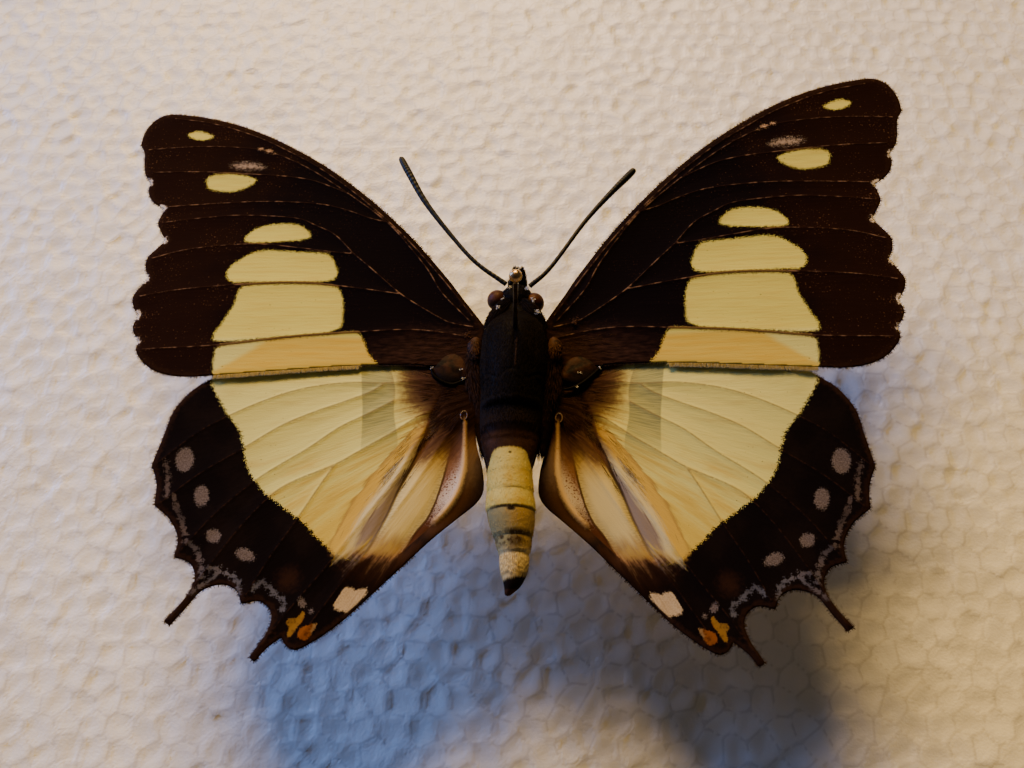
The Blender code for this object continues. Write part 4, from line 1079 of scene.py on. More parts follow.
def eye_finish():
    """Red-brown eye, dull from its fine facets, with cloudy tone."""
    fin = Finish("eye_facets", Specular_IOR_Level=0.1)
    spot = fin.place()
    facet = fin.node("ShaderNodeTexVoronoi", None, {"Vector": spot, "Scale": 11.0}, 0)
    cloud = fin.noise(spot, 1.2, 2.0)
    colour = fin.mix(cloud.ramp(0.35, 0.65), (0.045, 0.014, 0.005), (0.11, 0.038, 0.014))
    colour = fin.mix(facet.ramp(0.25, 0.7) * 0.5, colour, (0.03, 0.009, 0.004))
    fin.set("Base_Color", colour)
    fin.set("Roughness", 0.4 + facet * 0.15)
    fin.set("Normal", fin.bump(facet, 0.25, 0.00003))
    return fin


FOAM_STEP = 0.49    # spacing of the foam's points
# Width of a bead, spacing of the rows and random shift in widths, and steepness of its own slope
BEAD, BEAD_ROW, BEAD_SHIFT, BEAD_SLOPE = 3.0, 0.87, 0.28, 0.1


def beads(flat, rng, span):
    """For each point, how far it is from the line between its two nearest beads, the way to that line,
    its bead's own number, and its height on its bead's own slope. Beads' middles are a staggered grid,
    each shifted at random."""
    rows = int(span[1] / (BEAD * BEAD_ROW)) + 8
    columns = int(span[0] / BEAD) + 8
    shift = rng.uniform(-BEAD_SHIFT, BEAD_SHIFT, (rows, columns, 2)) * BEAD
    i, j = np.meshgrid(np.arange(rows), np.arange(columns), indexing="ij")
    seeds = shift + np.stack(((j - columns / 2 + 0.5 * (i % 2)) * BEAD,
                              (i - rows / 2) * BEAD * BEAD_ROW), -1)
    tone = rng.random((rows, columns))
    row = np.round(flat[:, 1] / (BEAD * BEAD_ROW) + rows / 2).astype(int)
    column = np.round(flat[:, 0] / BEAD + columns / 2).astype(int)
    first = np.full(len(flat), 1e9)
    second = first.copy()
    near = np.zeros((len(flat), 2))
    other = np.zeros((len(flat), 2))
    number = np.zeros(len(flat))
    for di in range(-2, 3):
        for dj in range(-2, 3):
            r, c = np.clip(row + di, 0, rows - 1), np.clip(column + dj, 0, columns - 1)
            seed = seeds[r, c]
            gap = ((flat - seed) ** 2).sum(1)
            closer = gap < first
            next_best = ~closer & (gap < second)
            other = np.where(closer[:, None], near, np.where(next_best[:, None], seed, other))
            second = np.where(closer, first, np.where(next_best, gap, second))
            near = np.where(closer[:, None], seed, near)
            number = np.where(closer, tone[r, c], number)
            first = np.where(closer, gap, first)
    between = np.maximum(np.linalg.norm(other - near, axis=1), 1e-6)
    slope = BEAD_SLOPE * ((flat - near) * np.stack((np.cos(60 * number), np.sin(60 * number)), 1)).sum(1)
    return (second - first) / (2 * between), (other - near) / between[:, None], number, slope


def bead_height(gap, number, slope):
    """Height of the foam over its beads by the distance from the line between two: a thin ridge that
    falls off with that distance, and each bead's own level and slope away from it."""
    return 0.25 * np.exp(-gap / 0.5) + (0.08 * number + slope) * (1 - np.exp(-gap / 0.25)) - 0.22


def foam_top(finish):
    """Upper face of the foam: a grid whose points near a groove are moved onto it."""
    rng = np.random.default_rng(11)
    half = np.array(BOARD[:2]) / 2 - 0.4
    count = (np.array(BOARD[:2]) / FOAM_STEP).astype(int)
    axes = [np.linspace(-half[k], half[k], count[k]) for k in (0, 1)]
    flat = np.stack(np.meshgrid(*axes, indexing="ij"), -1).reshape(-1, 2)
    gap, way, number, slope = beads(flat, rng, BOARD)
    inner = (np.abs(flat) < half - FOAM_STEP).all(1)
    moved = inner & (gap < 0.36 * FOAM_STEP)
    flat[moved] += way[moved] * gap[moved, None]
    gap = np.where(moved, 0.0, gap)
    rim = np.minimum(half[0] - np.abs(flat[:, 0]), half[1] - np.abs(flat[:, 1]))
    height = BOARD[2] + bead_height(gap, number, slope) - 0.9 * np.exp(-rim / 0.5)
    hole = np.hypot(flat[:, 0] - SPECIMEN[0], flat[:, 1] - SPECIMEN[1] - PIN_Y)
    height -= 0.5 * bell(hole, 0.0, 0.55)
    verts = np.column_stack((flat, height))
    faces = grid_faces(count[0], count[1])
    chart = (flat + BOARD[0] / 2) / BOARD[0] * 0.96 + 0.01
    return piece("foam_top", verts * MM, faces, finish, ("foam_board",),
                 {"groove": gap, "bead": number}, chart)


def foam_sides(finish):
    """Sides and underside of the foam: a band of the same beads once round, and a flat bottom."""
    rng = np.random.default_rng(12)
    step, corner, levels = 0.9, 1.2, 24
    w, d = BOARD[0] / 2 - corner, BOARD[1] / 2 - corner
    line = []
    for k, (cx, cy) in enumerate(((w, d), (-w, d), (-w, -d), (w, -d))):
        a = np.pi / 2 * (k + np.arange(6) / 5)
        bend = np.stack((cx + corner * np.cos(a), cy + corner * np.sin(a)), 1)
        way = np.array(((-1, 0), (0, -1), (1, 0), (0, 1))[k])
        length = 2 * (w, d)[k % 2]
        count = int(length / step)
        line += [bend[:-1], bend[-1] + way * (np.arange(count) / count * length)[:, None]]
    line = np.vstack(line)
    columns = len(line)
    out = np.roll(line, -1, 0) - np.roll(line, 1, 0)
    out = np.stack((out[:, 1], -out[:, 0]), 1) / np.linalg.norm(out, axis=1)[:, None]
    run = np.concatenate(([0.0], np.cumsum(np.linalg.norm(np.diff(line, axis=0), axis=1))))
    tall = np.linspace(0.0, BOARD[2] - 0.55, levels)
    grid = np.stack(np.meshgrid(run - run[-1] / 2, tall, indexing="ij"), -1).transpose(1, 0, 2).reshape(-1, 2)
    gap, _, number, slope = beads(grid - (0.0, BOARD[2] / 2), rng, (run[-1], BOARD[2]))
    depth = (bead_height(gap, number, slope) * 0.8).reshape(levels, columns)
    depth[-1] -= 0.35
    depth[0] = -0.3
    xy = line[None] + out[None] * (depth - 0.02)[..., None]
    rings = np.concatenate((xy, np.broadcast_to(tall[:, None, None], (levels, columns, 1))), -1)
    verts, faces = closed_rings(rings)
    verts, faces = verts[:-1], faces[:-columns]    # open at the top, under the foam's upper face
    carried = {"groove": np.append(gap, 1.0), "bead": np.append(number, 0.5)}
    return piece("foam_sides", verts * MM, outward(verts - (0, 0, 10.0), faces), finish, ("foam_board",),
                 carried, ring_chart(levels, columns)[:-1])


def foam_finish():
    """White moulded foam: beads of slightly different white, painted shade darkening the grooves between
    them, a fine pearly grain.
    """
    fin = Finish("foam_beads", Specular_IOR_Level=0.5)
    gap, number = fin.mark("groove"), fin.mark("bead")
    spot = fin.place()
    fine = fin.noise(spot, 3.5, 3.0) - 0.5
    cloud = fin.noise(spot, 0.5, 2.0) - 0.5
    white = fin.mix(number, (0.86, 0.845, 0.8), (0.96, 0.95, 0.92))
    # the grooves between beads painted greyer: painted shade
    white = fin.mix((gap + fine * 0.05).fall(0.0, 0.26) * 0.45, white, (0.58, 0.56, 0.52))
    white = fin.mix((fine + cloud).ramp(0.1, 0.4) * 0.35, white, (0.93, 0.92, 0.9))
    fin.set("Base_Color", white)
    fin.set("Roughness", 0.42 + fine * 0.5)
    groove = fin.bump(gap.fall(0.0, 1.0), 0.35, 0.00015)
    fin.set("Normal", fin.bump(fine + cloud * 2.0, 0.35, 0.00012, groove))
    return fin


FOAM = foam_finish()
foam_top(FOAM)
foam_sides(FOAM)

body_skin(body_finish("body_scales"))
BODY_FUR = body_finish("body_fur", True)
EYE = eye_finish()
for side, word in SIDES:
    eye_piece("eye_" + word, side, EYE)


ROOT_SINK = 0.04    # how deep a hair's root is in the skin
FAN_STRAY, TRAIL_STRAY = 0.12, 0.06    # how far the wings' hairs turn aside, in radians


def many(count):
    return int(count * (1.0))


def strands(name, roots, ways, lengths, radius, sag, finish, spots, marks):
    """Closed hairs, finer towards the end. Each follows root + way * t + sag * t squared, has a ring
    of three points round it at t = 0, 0.4 and 0.75, and ends in a point at t = 1."""
    count = len(roots)
    ways = ways / np.linalg.norm(ways, axis=1)[:, None]
    reach = np.broadcast_to(lengths, count)[:, None, None]
    t = np.array((0.0, 0.4, 0.75, 1.0))[None, :, None]
    path = roots[:, None] + (ways[:, None] * t + np.asarray(sag)[..., None, :] * t ** 2) * reach
    wide = np.cross(ways, (0.13, 0.21, 1.0))
    wide /= np.linalg.norm(wide, axis=1)[:, None]
    thick = np.cross(wide, ways)
    turn = TAU * np.arange(3) / 3
    ring = np.cos(turn)[:, None] * wide[:, None] + 0.5 * np.sin(turn)[:, None] * thick[:, None]
    shrink = (np.array((1.0, 0.9, 0.5))[None] * np.broadcast_to(radius, count)[:, None])[..., None, None]
    rings = (path[:, :3, None] + shrink * ring[:, None]).reshape(count, 9, 3)
    verts = np.concatenate((rings, path[:, 3:]), 1)
    faces = [(0, 2, 1)]
    for a in (0, 3):
        for j in range(3):
            k = (j + 1) % 3
            faces += [(a + j, a + k, a + k + 3), (a + j, a + k + 3, a + j + 3)]
    faces += [(6, 7, 9), (7, 8, 9), (8, 6, 9)]
    faces = (np.array(faces)[None] + 10 * np.arange(count)[:, None, None]).reshape(-1, 3)
    patch = np.stack((np.append(np.tile((-1.0, 0.0, 1.0), 3), 0.0) * 0.0012,
                      np.repeat((0.0, 0.001, 0.002, 0.003), (3, 3, 3, 1))), 1)
    carried = {key: np.repeat(value, 10) for key, value in marks.items()}
    carried["tip"] = np.tile(np.append(np.repeat((0.0, 0.4, 0.75), 3), 1.0), count)
    verts = verts.reshape(-1, 3)
    return piece(name, world(verts), outward(verts, faces), finish, (), carried,
                 (spots[:, None] + patch).reshape(-1, 2))


def body_fur(name, count, stations, turns, length, spread, lean, seed, width):
    """Fur on the skin: roots at random stations and turns, each hair along the body, forwards on the
    head and else to the rear, leaning out of the skin by the lean and aside by the spread."""
    rng = np.random.default_rng(seed)
    count = many(count)
    way = 1.0 if name == "head" else -1.0
    y = rng.uniform(*stations, count)
    turn = rng.uniform(*turns, count)
    root = body_spot(y, turn)
    round_ = body_spot(y, turn + 0.02) - root
    tail = body_spot(y - 0.02, turn) - root
    out = np.cross(tail, round_)
    for part in (round_, tail, out):
        part /= np.linalg.norm(part, axis=1)[:, None]
    ways = -way * tail + out * (lean * rng.uniform(0.5, 1.5, (count, 1)))
    ways = ways + round_ * rng.normal(0, spread, (count, 1))
    lengths = rng.uniform(*length, count)
    rows = body_rows()
    share = np.interp(-y, -rows[:, 0], np.linspace(0, 1, len(rows)))
    marks = {"along": y, "across": np.cos(turn), "top": np.sin(turn), "tone": rng.random(count)}
    return strands("fur_" + name, root - out * ROOT_SINK, ways, lengths, width, -0.3 * lean * out,
                   BODY_FUR, ring_spot(turn / TAU % 1.0, share), marks)


# Fur of the body: name, hairs, stations, turns, lengths, spread, lean, seed, width
for fur in (
        ("head", 2200, (0.9, 4.0), (0.0, TAU), (0.3, 0.65), 0.35, 0.5, 21, 0.03),
        ("collar", 1800, (-1.6, 0.8), (-0.6, np.pi + 0.6), (0.45, 1.0), 0.35, 0.35, 22, 0.032),
        ("back", 4200, (-11.0, -0.6), (0.5, np.pi - 0.5), (0.35, 0.7), 0.25, 0.12, 23, 0.028),
        ("side_left", 3200, (-13.5, -0.6), (np.pi - 0.6, np.pi * 1.5), (0.8, 1.9), 0.35, 0.22, 24, 0.036),
        ("side_right", 3200, (-13.5, -0.6), (-np.pi / 2, 0.6), (0.8, 1.9), 0.35, 0.22, 25, 0.036),
        ("rear", 3000, (-12.9, -10.2), (-0.2, np.pi + 0.2), (0.6, 1.3), 0.22, 0.14, 26, 0.034),
        ("abdomen", 3600, (-28.8, -14.0), (0.0, TAU), (0.16, 0.32), 0.14, 0.05, 27, 0.016),
        ("flanks", 1600, (-26.5, -14.6), (np.pi, np.pi * 1.9), (0.4, 0.8), 0.2, 0.12, 28, 0.024),
        ("tail", 900, (-28.5, -26.6), (0.0, TAU), (0.3, 0.6), 0.14, 0.06, 29, 0.024)):
    body_fur(*fur)


def strand_finish(name, dark, light, ends, streak=0.5):
    """Hair whose colour runs from dark to light by each hair's tone, over the streak's range of
    tones, and turns to the ends' colour."""
    fin = Finish(name, Specular_IOR_Level=0.06)
    tone, tip = fin.mark("tone"), fin.mark("tip")
    shade = tone + (fin.noise(fin.place(), 2.0) - 0.5) * 0.6
    body = fin.mix(shade.ramp(0.5 - streak / 2, 0.5 + streak / 2), dark, light)
    fin.set("Base_Color", fin.mix(tip * (0.3 + tone * 0.5), body, ends))
    fin.set("Roughness", 0.62 - tip * 0.12)
    return fin


def wing_hair(name, kind, side, flat, way, length, lean, seed, finish, width, lift=0.0):
    """Hair on a wing's upper face: roots at places of the wing's plane, each hair along its way there,
    leaning out of the face."""
    rng = np.random.default_rng(seed)
    runs, veins = WINGS[kind]
    loop = wing_loop(runs)
    near, _ = vein_nearest(flat, veins)
    root, along, fore, up = wing_axes(kind, side)
    height = wing_height(kind, flat, near) + MEMBRANE / 2 - HAIR_SINK + lift
    roots = root + flat[:, :1] * along + flat[:, 1:] * fore + height[:, None] * up
    ways = way[:, :1] * along + way[:, 1:] * fore + up * rng.uniform(0.3, 1.2, (len(flat), 1)) * lean
    return strands(name, roots, ways, rng.uniform(*length, len(flat)), width, -lean * 0.9 * up, finish,
                   wing_spot(flat, loop), {"tone": rng.random(len(flat))})


def fan(count, centre, reach, degrees, seed):
    """Random places on a sector round a centre, and the way outwards at each."""
    rng = np.random.default_rng(seed)
    far = rng.uniform(*reach, count)
    turn = np.radians(rng.uniform(*degrees, count))
    flat = np.asarray(centre) + far[:, None] * np.stack((np.cos(turn), np.sin(turn)), 1)
    turn = turn + rng.normal(0, FAN_STRAY, count)
    return flat, np.stack((np.cos(turn), np.sin(turn)), 1)


def trail(count, line, offset, seed):
    """Random places beside a line, and the line's way at each."""
    rng = np.random.default_rng(seed)
    path = smooth_line(line, 12)
    step = np.gradient(path, axis=0)
    step /= np.linalg.norm(step, axis=1)[:, None]
    pick = rng.integers(0, len(path), count)
    across = np.stack((-step[:, 1], step[:, 0]), 1)
    flat = path[pick] + across[pick] * rng.uniform(*offset, (count, 1))
    way = step[pick] + across[pick] * rng.normal(0, TRAIL_STRAY, (count, 1))
    return flat, way


BROWN_HAIR = strand_finish("hair_brown",
                           (0.006, 0.0026, 0.0014), (0.03, 0.0115, 0.005), (0.07, 0.028, 0.012))
COPPER_HAIR = strand_finish("hair_copper", (0.024, 0.01, 0.005), (0.1, 0.048, 0.024), (0.26, 0.165, 0.08))
CREAM_HAIR = strand_finish("hair_cream", (0.13, 0.085, 0.045), (0.58, 0.5, 0.28), (0.64, 0.56, 0.34), 0.3)
GOLD_HAIR = strand_finish("hair_gold", (0.11, 0.06, 0.018), (0.54, 0.36, 0.06), (0.6, 0.47, 0.14), 0.3)

# Hair beds of a wing: name, hairs, the sector's centre, reach and degrees or the line and the offsets
# from it, seed, lengths, lean, finish, width
HAIR_BEDS = (
    ("base", 2400, ((-1.0, 0.2), (1.4, 6.4), (-52, 36)), 0, (1.0, 2.4), 0.1, BROWN_HAIR, 0.028),
    ("veil", 1200, ((-1.0, 0.2), (5.6, 8.4), (-44, 26)), 2, (1.0, 2.6), 0.05, COPPER_HAIR, 0.017),
    ("groove", 1100, (HIND_GROOVE[1:7], (-0.9, 0.7)), 4, (1.0, 2.2), 0.04, BROWN_HAIR, 0.022),
    ("gold", 1300, (HIND_GOLD[2:-2], (-1.2, -0.2)), 6, (1.0, 2.8), 0.05, CREAM_HAIR, 0.018),
    ("amber", 1300, (HIND_GOLD[1:-2], (-0.5, 0.8)), 10, (1.0, 2.8), 0.04, GOLD_HAIR, 0.018),
    ("fore", 900, ((-2.0, -2.6), (2.2, 9.0), (-16, 12)), 8, (1.0, 2.2), 0.08, BROWN_HAIR, 0.028),
)
for side, word in SIDES:
    for name, count, bed, seed, length, lean, finish, width in HAIR_BEDS:
        seed += 40 + 20 * side
        flat, way = (fan if len(bed) == 3 else trail)(many(count), *bed, seed)
        wing_hair(f"hair_{name}_{word}", "fore" if name == "fore" else "hind", side, flat, way, length,
                  lean, seed + 1, finish, width)


def fringe(name, kind, side, seed, rear=False):
    """Short scales that stand out from a wing's rim, along the outline's outward way, or longer ones
    at the forewing's rear edge only, over the hindwing's cream."""
    rng = np.random.default_rng(seed)
    count, lengths, width, finish = ((8000, (0.5, 0.85), 0.05, REAR_FRINGE) if rear
                                     else (2000, (0.25, 0.42), 0.035, FRINGE))
    loop = wing_loop(WINGS[kind][0])
    run = np.concatenate(([0.0], np.cumsum(np.linalg.norm(np.diff(loop, axis=0), axis=1))))
    place = rng.uniform(run[3], run[-6], many(count))
    flat = np.stack([np.interp(place, run, loop[:, k]) for k in (0, 1)], 1)
    ahead = np.stack([np.interp(place + 0.3, run, loop[:, k]) - np.interp(place - 0.3, run, loop[:, k])
                      for k in (0, 1)], 1)
    out = np.stack((-ahead[:, 1], ahead[:, 0]), 1) / np.linalg.norm(ahead, axis=1)[:, None]
    keep = flat[:, 0] > 6.0
    if rear:
        keep &= (flat[:, 0] > 13.4) & (flat[:, 0] < 29.4) & (out[:, 1] < -0.8)
    flat, out = flat[keep], out[keep] + rng.normal(0, 0.25, (keep.sum(), 2))
    return wing_hair(name, kind, side, flat - out * 0.1, out, lengths, 0.0, seed + 1, finish,
                     width, -0.05)


REAR_FRINGE = strand_finish("hair_rear",
                            (0.3, 0.235, 0.1), (0.4, 0.325, 0.14), (0.5, 0.42, 0.2), 0.3)
FRINGE = strand_finish("hair_fringe",
                       (0.01, 0.0055, 0.004), (0.04, 0.02, 0.012), (0.06, 0.036, 0.024), 0.3)
for side, word in SIDES:
    fringe("fringe_fore_" + word, "fore", side, 90 + side)
    fringe("fringe_hind_" + word, "hind", side, 95 + side)
    fringe("fringe_rear_" + word, "fore", side, 100 + side, True)


def horn_finish(name, dark, light, bands, rough):
    """Horny skin of feelers and legs: cloudy tone, fine rings along the piece and short grain."""
    fin = Finish(name, Specular_IOR_Level=0.22)
    share, spot = fin.mark("share"), fin.place()
    cloud = fin.noise(spot, 1.6, 3.0)
    ring = fin.node("ShaderNodeMath", {"operation": "SINE"}, {0: share * (bands * TAU)})
    colour = fin.mix(cloud.ramp(0.35, 0.7), dark, light)
    fin.set("Base_Color", fin.mix(ring.ramp(0.2, 1.0) * 0.5, colour, dark))
    fin.set("Roughness", rough + (cloud - 0.5) * 0.3)
    fin.set("Normal", fin.bump(ring * 0.5 + fin.noise(spot, 9.0) * 0.7, 0.4, 0.00004))
    return fin


def limb(name, points, finish, parts, swell=0.0, joints=0, turned=False):
    """A limb along the smooth curve of its points. Its radius is theirs, times 1 plus the swell times
    the cube of the size of the cosine of half a turn for each joint."""
    row = smooth_line(points, parts)
    path, radii = row[:, :3], row[:, 3].clip(0.05)
    share = np.linspace(0, 1, len(path))
    radii = radii * (1 + swell * np.abs(np.cos(np.pi * joints * share)) ** 3)
    return tube_piece(name, head_turned(path) if turned else path, radii, finish, (name,), 16)


FEELER = horn_finish("feeler_horn", (0.002, 0.0022, 0.0022), (0.0065, 0.0062, 0.0056), 46, 0.5)
LEG_HORN = horn_finish("leg_horn", (0.008, 0.0042, 0.0026), (0.045, 0.022, 0.011), 9, 0.4)
TONGUE = horn_finish("tongue_horn", (0.03, 0.01, 0.004), (0.13, 0.052, 0.018), 60, 0.35)
limb("antenna_left", ANTENNA_LEFT, FEELER, 40, 0.05, 44)
limb("antenna_right", ANTENNA_RIGHT, FEELER, 40, 0.05, 44)
coil = [(HEAD_PIVOT[0] + COIL_AT[0], COIL_AT[1] - r * math.sin(a), COIL_AT[2] + r * math.cos(a), 0.235)
        for a, r in ((TAU * 1.1 * k / 24, COIL_R * (1 - 0.62 * k / 24)) for k in range(25))]
limb("proboscis", coil, TONGUE, 4, 0.06, 30, True)

PALP_FUR = strand_finish("hair_palp", (0.004, 0.0026, 0.0022), (0.014, 0.0075, 0.005), (0.045, 0.022, 0.012))
LEG_FUR = strand_finish("hair_leg", (0.006, 0.0034, 0.0024), (0.03, 0.014, 0.007), (0.06, 0.032, 0.018))


def tube_fur(name, points, count, length, seed, finish, turned=False, lean=0.35, width=0.026):
    """Fur on a limb: roots at random places round its curve, each hair along it and leaning out."""
    rng = np.random.default_rng(seed)
    count = many(count)
    row = smooth_line(points, 12)
    path = head_turned(row[:, :3]) if turned else row[:, :3]
    sides = 24
    rings = place_tube(path, row[:, 3], sides)
    i, j = rng.integers(0, len(path) - 1, count), rng.integers(0, sides, count)
    root = rings[i, j] + (rings[i + 1, j] - rings[i, j]) * rng.random((count, 1))
    out = root - path[i]
    out /= np.linalg.norm(out, axis=1)[:, None]
    along = path[i + 1] - path[i]
    along /= np.linalg.norm(along, axis=1)[:, None]
    ways = along + out * lean * rng.uniform(0.4, 1.6, (count, 1)) + rng.normal(0, 0.12, (count, 3))
    return strands("fur_" + name, root - out * ROOT_SINK, ways, rng.uniform(*length, count), width,
                   -0.2 * lean * out, finish, ring_spot(j / sides, i / len(path)),
                   {"tone": rng.random(count)})


def lobe(name, middle, half, degrees, finish, replaces, slot, pinch=0.0, ridge=0.0):
    """A rounded plate: a ball stretched to half its length, width and height, narrowed towards both
    ends by the pinch, raised along its length by the ridge, and turned in plan."""
    rows, columns = 40, 72
    slope = np.pi * (np.arange(1, rows) / rows)[:, None]
    turn = TAU * np.arange(columns)[None] / columns
    x, y, z = np.broadcast_arrays(np.cos(slope), np.sin(slope) * np.cos(turn), np.sin(slope) * np.sin(turn))
    y = y * (1 - pinch * x ** 2)
    z = z * (1 - pinch * x ** 2) + ridge * bell(y, 0.0, 0.18) * np.sin(slope) * (z > 0)
    a = math.radians(degrees)
    x, y, z = x * half[0], y * half[1], z * half[2]
    spots = np.stack((x * math.cos(a) - y * math.sin(a), x * math.sin(a) + y * math.cos(a), z), -1) + middle
    verts, faces = closed_rings(spots)
    marks = {"out": np.append((y / half[1]).ravel(), (0.0, 0.0)),
             "share": np.append((x / half[0]).ravel(), (1.0, -1.0))}
    return piece(name, world(verts), outward(verts, faces), finish, replaces, marks,
                 ring_chart(rows - 1, columns))


def plate_finish(name, dark, light, rough, shine=0.35):
    """Brown plate: cloudy, darker to its edges, polished by its shine."""
    fin = Finish(name, Specular_IOR_Level=shine)
    spot = fin.place()
    cloud = fin.noise(spot, 0.9, 3.0)
    colour = fin.mix(cloud.ramp(0.35, 0.65), dark, light)
    fin.set("Base_Color", fin.mix((0.2 - fin.mark("out")).ramp(0.1, 0.9), colour, dark))
    fin.set("Roughness", rough + (fin.noise(spot, 5.0) - 0.5) * 0.3)
    fin.set("Normal", fin.bump(cloud + fin.noise(spot, 4.0, 3.0) * 0.3, 0.5, 0.00012))
    return fin


PLATE = plate_finish("plate_horn", (0.004, 0.0018, 0.0012), (0.04, 0.014, 0.0055), 0.55, 0.06)
TEGULA_SKIN = plate_finish("tegula_horn", (0.008, 0.0034, 0.002), (0.06, 0.024, 0.01), 0.6, 0.1)
TEGULA_FUR = strand_finish("hair_tegula",
                           (0.01, 0.0042, 0.0022), (0.115, 0.047, 0.019), (0.2, 0.095, 0.04))
AXILLA_FUR = strand_finish("hair_axilla",
                           (0.004, 0.0021, 0.0014), (0.022, 0.009, 0.0044), (0.055, 0.024, 0.011))
AXILLA = plate_finish("axilla_skin", (0.0035, 0.002, 0.0015), (0.014, 0.0058, 0.003), 0.75, 0.02)
SHOULDER_FUR = strand_finish("hair_shoulder",
                             (0.0026, 0.002, 0.002), (0.0075, 0.0048, 0.004), (0.016, 0.01, 0.008))
EDGE = plate_finish("edge_horn", (0.001, 0.0007, 0.0006), (0.0024, 0.0014, 0.001), 0.5, 0.03)
LOOP = plate_finish("loop_horn", (0.06, 0.03, 0.013), (0.2, 0.12, 0.06), 0.25)
WHITE_HAIR = strand_finish("hair_white", (0.5, 0.48, 0.46), (0.75, 0.74, 0.72), (0.8, 0.8, 0.78))
for k, (side, word) in enumerate(SIDES):
    lobe("tegula_" + word, *TEGULAE[k], TEGULA_SKIN, ("tegula_" + word,), "tegula_brown", 0.25)
    lobe("plate_" + word, *PLATES[k], PLATE, (), "wing_brown", 0.35, 0.12)
    palp = [(HEAD_PIVOT[0] + side * x, y, z, r) for x, y, z, r in PALP]
    limb("palp_" + word, palp, FEELER, 20, turned=True)
    tube_fur("palp_" + word, palp, 800, (0.3, 0.6), 61 + k, PALP_FUR, turned=True)
    for number, (part, table) in enumerate((("foreleg_", FORELEG), ("midleg_", MIDLEG),
                                            ("hindleg_", HINDLEG))):
        line = [(0.05 + 0.045 * y + side * x, y, z, r) for x, y, z, r in table]
        limb(part + word, line, LEG_HORN, 20, 0.14, 7)
        tube_fur(part + word, line, 500, (0.25, 0.5), 70 + 5 * number + k, LEG_FUR)


# Small parts round the wing roots, left then right: shining edges with their radii, and the middles
# of white tufts on the head, of hair at the forewings' roots and of white hair standing in for glints on the
# plates: painted highlights
EDGES = (((-9.35, -5.3, 0.12, 0.1), (-8.9, -6.8, 0.1, 0.2), (-7.0, -7.75, 0.02, 0.24),
          (-5.1, -6.9, 0.12, 0.14)),
         ((5.2, -8.3, -0.1, 0.1), (6.3, -8.1, -0.05, 0.2), (7.5, -7.5, 0.02, 0.24),
          (8.9, -6.3, 0.1, 0.22), (9.8, -5.3, 0.2, 0.1)))
TUFTS = (((-1.85, 0.66, 2.45), (-1.26, 1.85, 2.1), (-0.48, 3.36, 2.15)),
         ((2.34, 0.16, 2.35), (1.94, 1.95, 2.0), (1.34, 3.36, 2.15)))
ROOT_TUFTS = (((-5.3, -1.6, 0.35),), ((6.7, -0.1, 0.75),))
GLINTS = (((-9.1, -5.9, 0.45), (-5.6, -7.1, 0.35), (-6.0, -6.2, 0.5)),
          ((6.7, -8.1, 0.25), (9.3, -5.9, 0.5), (7.0, -6.4, 0.45)))
# Furry swellings beside the body, on its right: x, y, z, radius
AXILLA_LINE = ((4.1, -2.4, -0.2, 0.5), (4.5, -4.6, -0.3, 0.85), (4.3, -7.4, -0.4, 0.95),
               (3.7, -10.2, -0.7, 0.75), (3.1, -12.6, -0.9, 0.6), (2.8, -15.0, -1.2, 0.4))
SHOULDER_LINE = ((0.35, 2.2, 1.75, 0.5), (1.0, 1.45, 1.7, 0.8), (1.75, 0.52, 1.62, 0.86),
                 (2.5, -0.45, 1.4, 0.7), (2.9, -1.1, 1.2, 0.5))
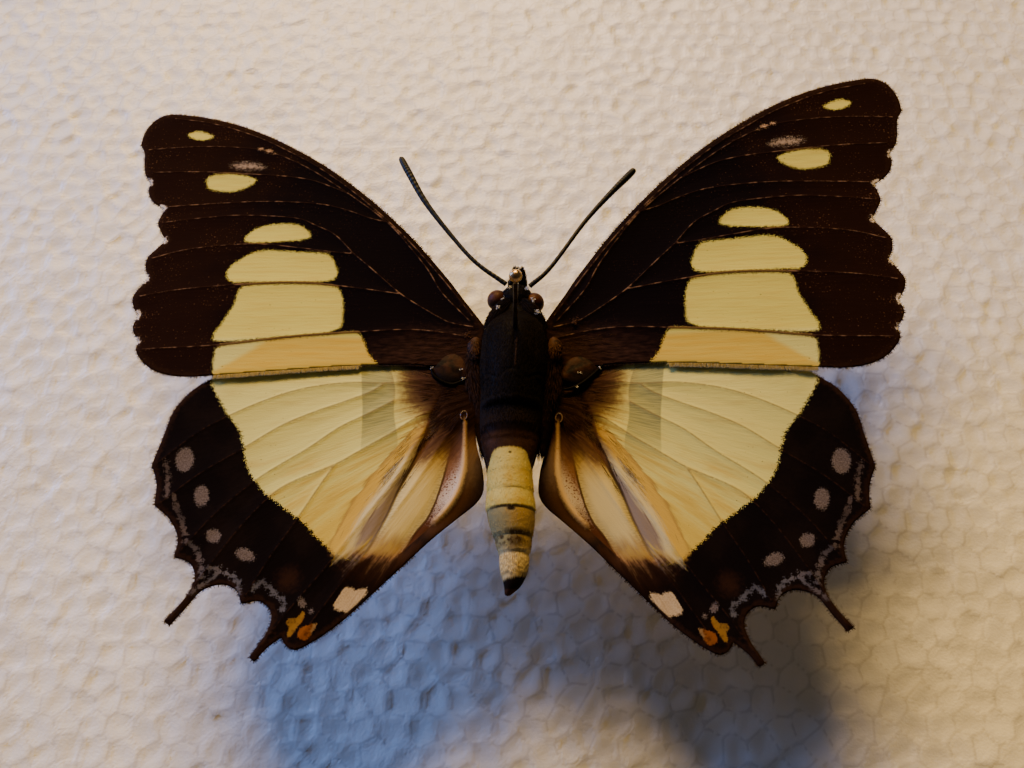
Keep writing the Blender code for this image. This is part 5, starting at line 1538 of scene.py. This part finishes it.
# The same on a lobe over the forewing's root, from its middle: outwards, forwards, up, radius
TEGULA_LINE = ((-0.15, 1.0, -0.15, 0.35), (0.0, 0.4, -0.1, 0.58), (0.0, -0.4, -0.1, 0.58),
               (0.0, -1.1, -0.2, 0.3))
LOOP_AT, LOOP_HALF = (1.6, -3.35), (0.36, 0.52)    # the wire-like loop on the hindwing's root: u, v
for k, (side, word) in enumerate(SIDES):
    lobe("axilla_" + word, (side * 3.6 - 0.22, -8.4, -0.8), (7.5, 1.25, 1.15), 90.0 - side * 3.5,
         AXILLA, (), "body_black", 0.35)
    line = [(side * x - 0.25, y, z, r) for x, y, z, r in AXILLA_LINE]
    tube_fur("axilla_" + word, line, 3300, (0.7, 1.7), 130 + side, AXILLA_FUR, width=0.03)
    lobe("shoulder_" + word, (side * 1.58 + 0.05, 0.62, 1.62), (2.4, 1.05, 0.85), side * -50.0,
         AXILLA, (), "body_black", 0.2)
    line = [(side * x + 0.05, y, z, r) for x, y, z, r in SHOULDER_LINE]
    tube_fur("shoulder_" + word, line, 2100, (0.35, 0.8), 140 + side, SHOULDER_FUR,
             lean=0.2, width=0.028)
    middle = TEGULAE[k][0]
    line = [(middle[0] + side * x, middle[1] + y, middle[2] + z, r) for x, y, z, r in TEGULA_LINE]
    tube_fur("tegula_" + word, line, 1000, (0.35, 0.8), 160 + k, TEGULA_FUR, lean=0.3)
    line = smooth_line(EDGES[k], 16)
    tube_piece("edge_" + word, line[:, :3], line[:, 3], EDGE, (), 20)
    root, along, fore, up = wing_axes("hind", side)
    turn = np.linspace(0.3, TAU - 0.6, 40)
    u, v = LOOP_AT[0] + LOOP_HALF[0] * np.sin(turn), LOOP_AT[1] - LOOP_HALF[1] * np.cos(turn)
    path = root + u[:, None] * along + v[:, None] * fore + up * 0.42
    tube_piece("loop_" + word, path, 0.075, LOOP, (), 12)
    rng = np.random.default_rng(150 + side)
    # white tufts on the head, hair at the forewings' roots, and white hair on the plates as painted
    # highlights
    for number, (spots, count, size, finish) in enumerate((
            (TUFTS[k], 40, 0.11, WHITE_HAIR), (ROOT_TUFTS[k], 60, 0.22, TEGULA_FUR),
            (GLINTS[k], 5, 0.1, WHITE_HAIR))):
        spots = np.repeat(np.array(spots), count, 0)
        roots = spots + rng.normal(0, size, spots.shape) * (1.0, 1.0, 0.5)
        ways = np.array((side * 0.5, -0.3, 0.6)) + rng.normal(0, 0.35, spots.shape)
        strands(f"tuft_{number}_{word}", roots, ways, rng.uniform(0.18, 0.36, len(roots)), 0.035,
                (0.0, 0.0, -0.2), finish, np.full((len(roots), 2), 0.5),
                {"tone": rng.random(len(roots))})


def metal_finish(name, colour, dull, rough):
    """Pin metal: polished, with dull worn clouds and fine drawn lines along the pin."""
    fin = Finish(name, Metallic=1.0)
    spot = fin.place()
    drawn = fin.vector(fin.axis(spot, 0) * 20.0, fin.axis(spot, 1) * 20.0, fin.axis(spot, 2) * 0.6)
    lines = fin.noise(drawn, 1.0, 2.0)
    cloud = fin.noise(spot, 1.3, 3.0)
    fin.set("Base_Color", fin.mix(cloud.ramp(0.4, 0.7), colour, dull))
    fin.set("Roughness", rough + (cloud - 0.4) * 0.4 + (lines - 0.5) * 0.15)
    fin.set("Normal", fin.bump(lines + cloud, 0.25, 0.00004))
    return fin


for node, *look in (("pin_shaft", "pin_steel", (0.1, 0.075, 0.055), (0.03, 0.02, 0.015), 0.35),
                    ("pin_head", "pin_brass", (0.55, 0.38, 0.2), (0.3, 0.17, 0.07), 0.25)):
    finish = metal_finish(*look)
    for pin_slot in frame["nodes"][node].material_slots:
        pin_slot.material = finish.material

# Camera, looking down at the specimen from its tail
view = bpy.data.cameras.new("camera")
view.lens = 30.0
view.sensor_width = 36.0
view.clip_start = 0.005
camera = bpy.data.objects.new("camera", view)
bpy.context.scene.collection.objects.link(camera)
camera.location = (-0.00036, -0.05888, 0.12019)
camera.rotation_euler = (math.radians(25.0), 0.0, 0.0)
bpy.context.scene.camera = camera


LIT = Vector((0.0, -0.01, 0.02))    # what the lights face, in metres


def soft_light(name, power, size, place, colour):
    """A soft light of a width and height that faces the lit spot."""
    lamp = bpy.data.lights.new(name, "AREA")
    lamp.energy = power
    lamp.shape = "RECTANGLE"
    lamp.size, lamp.size_y = size
    lamp.color = colour
    ob = bpy.data.objects.new(name, lamp)
    bpy.context.scene.collection.objects.link(ob)
    ob.location = place
    ob.rotation_euler = (LIT - Vector(place)).to_track_quat("-Z", "Y").to_euler()


soft_light("key", 11.9, (0.5, 0.18), (-0.115, 0.64, 0.52), (1.0, 0.63, 0.22))
soft_light("fill", 3.0, (0.2, 0.14), (-0.45, 0.2, 0.195), (0.2, 0.39, 1.0))

world_light = bpy.data.worlds.new("room")
world_light.use_nodes = True
background = world_light.node_tree.nodes["Background"]
background.inputs["Color"].default_value = (1.0, 0.88, 0.74, 1.0)
background.inputs["Strength"].default_value = 0.05
bpy.context.scene.world = world_light

floor_mesh = bpy.data.meshes.new("floor")
floor_mesh.from_pydata([(-3, -3, 0), (3, -3, 0), (3, 3, 0), (-3, 3, 0)], [], [(0, 1, 2, 3)])
floor = bpy.data.objects.new("floor", floor_mesh)
bpy.context.scene.collection.objects.link(floor)
FLOOR = Finish("floor_pale", Roughness=0.8, Base_Color=(0.72, 0.71, 0.69))
floor_mesh.materials.append(FLOOR.material)
